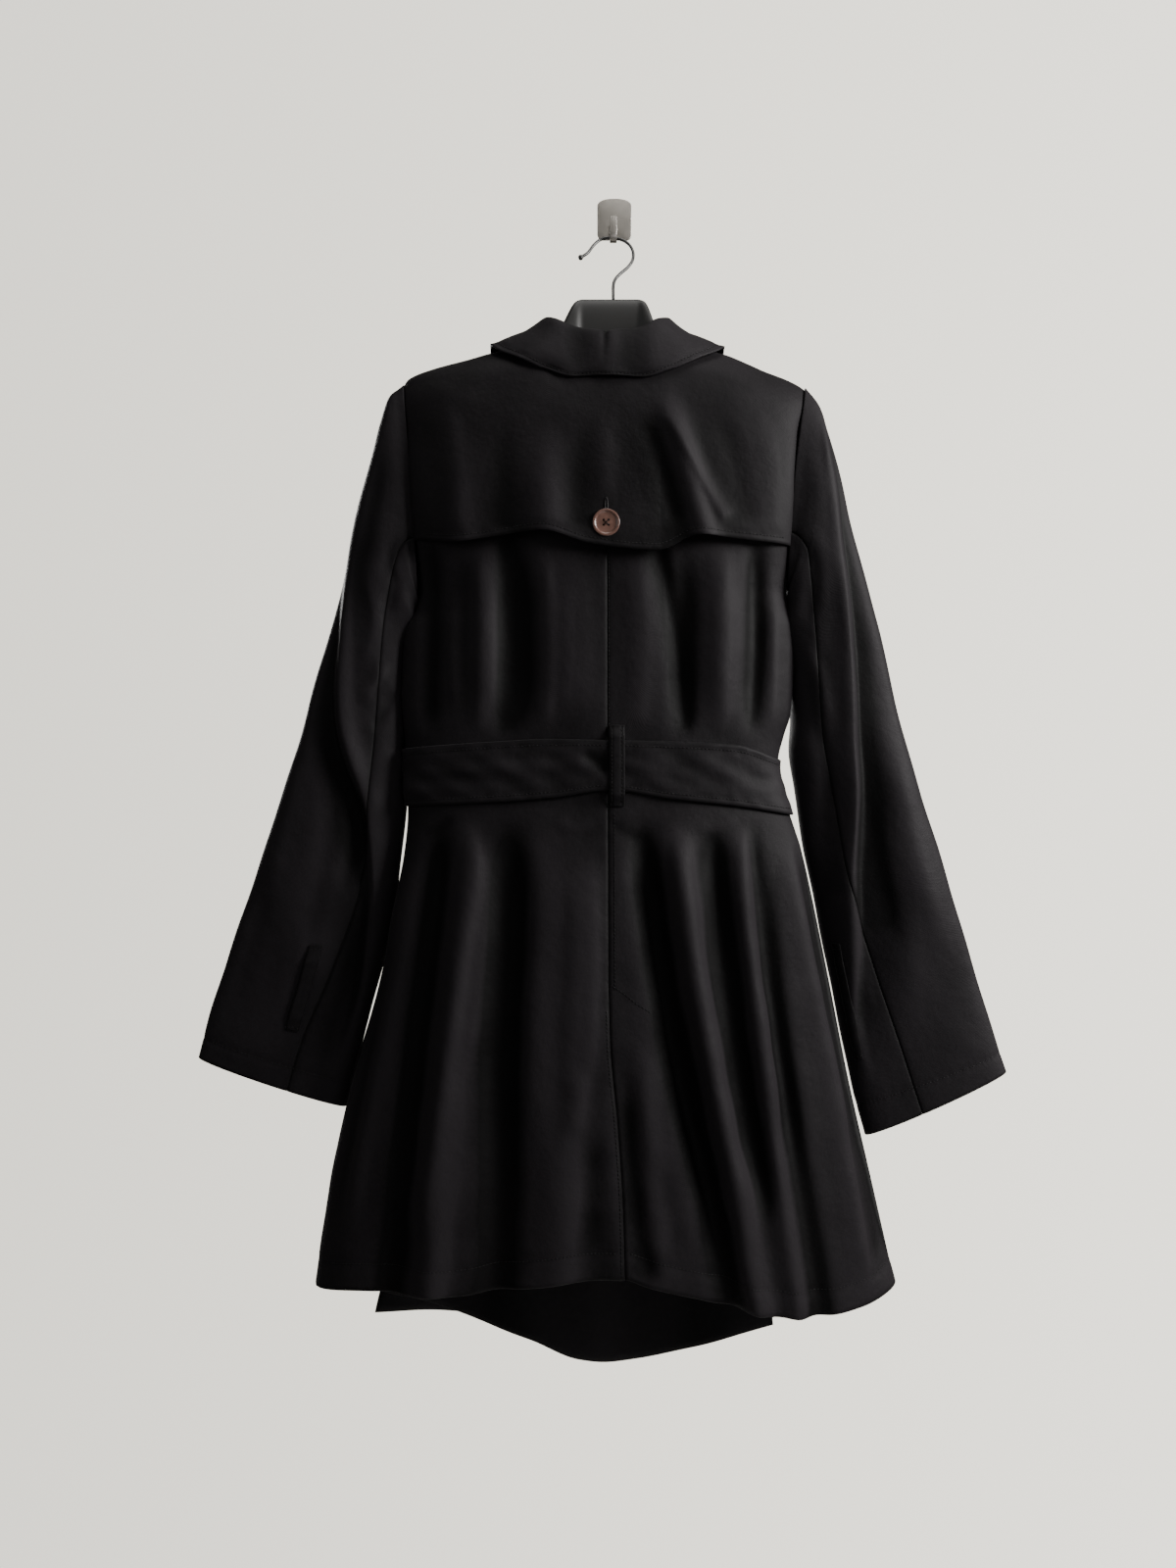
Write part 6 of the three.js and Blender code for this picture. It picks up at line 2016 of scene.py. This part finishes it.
@dataclass
class Hanger:
    """The broad moulded hanger and its wire hook."""

    sides: int = 40
    stations: int = 220
    end_round: float = 5.0
    wire_radius: float = 1.5
    wire_lean: float = 0.45
    wire_deep: float = 8.0
    wire_top: float = 22.9
    ball: float = 2.6

    def body(self) -> Piece:
        """Models the body: a ring drawn along the stations of the table."""
        at = [Curve(HANGER_ROWS, k) for k in (1, 2, 3, 4)]
        first, last = HANGER_ROWS[0][0], HANGER_ROWS[-1][0]
        ease_in = np.linspace(0, 1, 14) ** 2
        start = first - self.end_round * (1 - ease_in[:-1])
        close = last + self.end_round * np.sqrt(ease_in)[1:]
        stations = np.concatenate((start, np.linspace(first, last, self.stations), close))
        reach = self.end_round
        end = np.minimum((stations - (first - reach)) / reach, (last + reach - stations) / reach)
        scale = np.sqrt(np.clip(1 - (1 - np.clip(end, 0, 1)) ** 2, 0.02, 1))
        angle = np.arange(self.sides) * 2 * math.pi / self.sides
        bend_y = powered(np.cos(angle), 0.8)
        bend_z = powered(np.sin(angle), 0.8)
        top, foot, deep, half = (curve(stations)[:, None] for curve in at)
        y = -deep + half * scale[:, None] * bend_y[None]
        z = -(top + foot) / 2 + (foot - top) / 2 * scale[:, None] * bend_z[None]
        points = np.stack((np.repeat(stations[:, None], self.sides, 1), y, z), -1)
        faces = tube_faces(len(stations), self.sides)
        piece = mesh_object("hanger_moulded_body", points.reshape(-1, 3), faces)
        close_ends(piece)
        return piece

    def wire(self) -> Piece:
        """Models the bent wire and the ball at its tip."""
        lean, top = self.wire_lean, self.wire_top
        line = smooth_path([(x, -self.wire_deep - lean * (d - top), -d) for x, d in WIRE_POINTS], 8)
        curve = bpy.data.curves.new("wire", "CURVE")
        curve.dimensions = "3D"
        curve.bevel_depth = self.wire_radius * MM
        curve.bevel_resolution = 6
        curve.use_fill_caps = True
        spline = curve.splines.new("POLY")
        spline.points.add(len(line) - 1)
        spline.points.foreach_set("co", np.hstack((line * MM, np.ones((len(line), 1)))).ravel())
        piece = bpy.data.objects.new("hanger_wire_hook", curve)
        bpy.context.scene.collection.objects.link(piece)
        select_only(piece)
        bpy.ops.object.convert(target="MESH")
        piece = bpy.context.object
        bpy.ops.mesh.primitive_uv_sphere_add(
            segments=32, ring_count=20, radius=self.ball * MM, location=tuple(line[0] * MM)
        )
        ball = bpy.context.object
        bpy.ops.object.transform_apply(location=True, rotation=True, scale=True)
        join(piece, ball, "UNION")
        smooth_by_angle(piece, 50)
        return piece

    def build(self, wardrobe: Wardrobe) -> None:
        """Builds and dresses the hanger."""
        fit_out(self.body(), wardrobe.hanger, Slot.HANGER, "hanger_body")
        fit_out(self.wire(), wardrobe.wire, Slot.WIRE, "hanger_hook")


@dataclass
class WallHook:
    """The steel plate on the wall and the tongue that is bent up in front of it."""

    half: float = 17.1
    top: float = 19.5
    foot: float = -22.3
    thick: float = 1.5
    corner: float = 6.0
    edge_round: float = 0.35
    arch: float = 7.0
    tongue_x: float = -1.4
    tongue_width: float = 7.0
    bend_y: float = -7.8
    bend_z: float = -19.8
    outer: float = 7.6
    inner: float = 5.6
    tip: float = -5.0
    root: float = -8.0

    def extruded(self, name: str, outline: Array, way: Sequence[float]) -> Piece:
        """Draws an outline and extrudes it.

        Args:
            name: name of the piece.
            outline: points of the outline in millimetres.
            way: the extrusion in millimetres.

        Returns:
            The piece.
        """
        piece = mesh_object(name, outline, np.arange(len(outline))[None])
        select_only(piece)
        bpy.ops.object.mode_set(mode="EDIT")
        bpy.ops.mesh.select_all(action="SELECT")
        bpy.ops.mesh.extrude_region_move(TRANSFORM_OT_translate={"value": tuple(v * MM for v in way)})
        bpy.ops.mesh.select_all(action="SELECT")
        bpy.ops.mesh.normals_make_consistent(inside=False)
        bpy.ops.object.mode_set(mode="OBJECT")
        return piece

    def plate_outline(self) -> Array:
        """The plate's outline: an arched top and rounded lower corners."""

        def bow(a: tuple, b: tuple, c: tuple, steps: int) -> Array:
            t = np.linspace(0, 1, steps, endpoint=False)[:, None]
            return np.array(a) * (1 - t) ** 2 + np.array(b) * 2 * t * (1 - t) + np.array(c) * t**2

        w, low, high, r = self.half, self.foot, self.top, self.corner
        side = high - self.arch
        flat = np.vstack(
            (
                bow((w - r, low), (w, low), (w, low + r), 12),
                bow((w, side), (w * 0.9, high), (0, high), 24),
                bow((0, high), (-w * 0.9, high), (-w, side), 24),
                bow((-w, low + r), (-w, low), (-w + r, low), 12),
            )
        )
        extra = np.array(((-w, side), (-w + r, low)))
        flat = np.insert(flat, 60, extra[0], axis=0)
        flat = np.vstack((flat, extra[1]))
        return np.stack((flat[:, 0], np.zeros(len(flat)), flat[:, 1]), 1)

    def tongue_outline(self) -> Array:
        """The tongue's outline seen from the side."""
        turn = np.linspace(0, -math.pi, 28)
        arc = np.stack((np.cos(turn), np.sin(turn)), 1)
        middle = np.array((self.bend_y, self.bend_z))
        inner, outer = middle + self.inner * arc, (middle + self.outer * arc)[::-1]
        right, left = self.bend_y + self.outer, self.bend_y - self.outer
        flat = np.vstack(
            (
                ((right, self.root), (self.bend_y + self.inner, self.root)),
                inner,
                ((self.bend_y - self.inner, self.tip), (left, self.tip)),
                outer,
            )
        )
        x = self.tongue_x - self.tongue_width / 2
        return np.stack((np.full(len(flat), x), flat[:, 0], flat[:, 1]), 1)

    def build(self, wardrobe: Wardrobe) -> None:
        """Builds and dresses the hook as one piece."""
        plate = self.extruded("wall_hook_plate", self.plate_outline(), (0, -self.thick, 0))
        tongue = self.extruded("wall_hook_tongue", self.tongue_outline(), (self.tongue_width, 0, 0))
        for piece in (plate, tongue):
            bevel(piece, self.edge_round, 3, 50)
        join(plate, tongue, "UNION")
        smooth_by_angle(plate, 35)
        fit_out(plate, wardrobe.plate, Slot.PLATE, "wall_hook")


COAT_MIDDLE = (-0.02, -0.06, -0.55)


@dataclass
class Studio:
    """Camera, floor, world and lights."""

    camera_at: tuple = (-0.0264, -1.180, -0.5673)
    lens: float = 27.0
    floor_drop: float = 1.85
    floor_radius: float = 0.5
    world: tuple = (0.80, 0.768, 0.68)
    # Strengths of the backdrop that the camera sees, at the left and at the right: a painted gradient of
    # window light on a wall.
    backdrop_painted_light_gradient: tuple = (1.9, 2.75)
    room_strength: float = 0.10
    lamps: tuple = (
        ("window", (2.6, -1.05, 0.5), COAT_MIDDLE, 1.2, 225.0, (1.0, 0.99, 0.975)),
        ("room", (-2.2, -1.9, 0.2), COAT_MIDDLE, 1.6, 12.0, (0.97, 0.985, 1.0)),
        ("behind", (-1.5, 2.3, 0.3), COAT_MIDDLE, 1.6, 110.0, (1.0, 0.99, 0.98)),
        ("bounce", (0.7, -1.9, -1.7), (0, -0.06, -1.0), 1.2, 8.0, (0.97, 0.97, 1.0)),
        ("ceiling", (0.2, -0.6, 1.9), COAT_MIDDLE, 1.2, 30.0, (1.0, 0.99, 0.97)),
    )

    def lamp(self, name: str, at: tuple, aim: tuple, size: float, power: float, tint: tuple) -> None:
        """Adds a square area light that faces a point."""
        light = bpy.data.lights.new(name, "AREA")
        light.shape = "SQUARE"
        light.size = size
        light.energy = power
        light.color = tint
        lamp = bpy.data.objects.new(name, light)
        lamp.location = at
        lamp.rotation_euler = (Vector(aim) - Vector(at)).to_track_quat("-Z", "Y").to_euler()
        bpy.context.scene.collection.objects.link(lamp)

    def build(self, wardrobe: Wardrobe) -> None:
        """Sets up everything that isn't the object."""
        camera = bpy.data.cameras.new("camera")
        camera.lens = self.lens
        camera.sensor_width = 36.0
        camera.sensor_fit = "AUTO"
        camera.clip_start = 0.01
        view = bpy.data.objects.new("camera", camera)
        view.location = self.camera_at
        view.rotation_euler = (math.pi / 2, 0, 0)
        bpy.context.scene.collection.objects.link(view)
        bpy.context.scene.camera = view
        bpy.ops.mesh.primitive_circle_add(
            vertices=128, radius=self.floor_radius, fill_type="NGON", location=(0, 0, -self.floor_drop)
        )
        floor = bpy.context.object
        floor.name = "floor"
        floor.data.materials.append(wardrobe.floor)
        world = bpy.data.worlds.new("pale_room")
        world.use_nodes = True
        tree = world.node_tree
        back = tree.nodes["Background"]
        seen = tree.nodes.new("ShaderNodeLightPath")
        strength = tree.nodes.new("ShaderNodeMapRange")
        strength.inputs["To Min"].default_value = self.room_strength
        across = tree.nodes.new("ShaderNodeSeparateXYZ")
        toward = tree.nodes.new("ShaderNodeTexCoord")
        # Camera rays see the backdrop with a painted light gradient, darker at the left and brighter at the
        # right; all other rays see the dim room light.
        wall = tree.nodes.new("ShaderNodeMapRange")
        limits = {"From Min": -0.45, "From Max": 0.45}
        limits["To Min"], limits["To Max"] = self.backdrop_painted_light_gradient
        for socket, value in limits.items():
            wall.inputs[socket].default_value = value
        tree.links.new(toward.outputs["Generated"], across.inputs[0])
        tree.links.new(across.outputs["X"], wall.inputs["Value"])
        tree.links.new(wall.outputs["Result"], strength.inputs["To Max"])
        tree.links.new(seen.outputs["Is Camera Ray"], strength.inputs["Value"])
        tree.links.new(strength.outputs["Result"], back.inputs["Strength"])
        back.inputs["Color"].default_value = (*self.world, 1)
        bpy.context.scene.world = world
        for row in self.lamps:
            self.lamp(*row)


def main() -> None:
    """Builds the pieces in order and dresses them."""
    logging.basicConfig(level=logging.INFO, format="%(message)s", stream=sys.stdout)
    wardrobe = Wardrobe()
    Studio().build(wardrobe)
    stitcher = Stitcher(wardrobe.thread)
    back, fronts = BackPanels(), FrontPanels()
    back.build(wardrobe, stitcher)
    fronts.build(wardrobe, stitcher)
    StormFlap().build(wardrobe, stitcher)
    Collar().build(wardrobe, stitcher)
    Sleeve(Side.LEFT, loop=(97, 0.795, 0.895, 4.6)).build(wardrobe, stitcher)
    Sleeve(Side.RIGHT, tuck_end=0.52, loop=(148, 0.8, 0.9, 5.0)).build(wardrobe, stitcher)
    BeltSet().build(wardrobe, stitcher, back, fronts)
    Buttons().build(wardrobe)
    Hanger().build(wardrobe)
    WallHook().build(wardrobe)


if __name__ == "__main__":
    main()
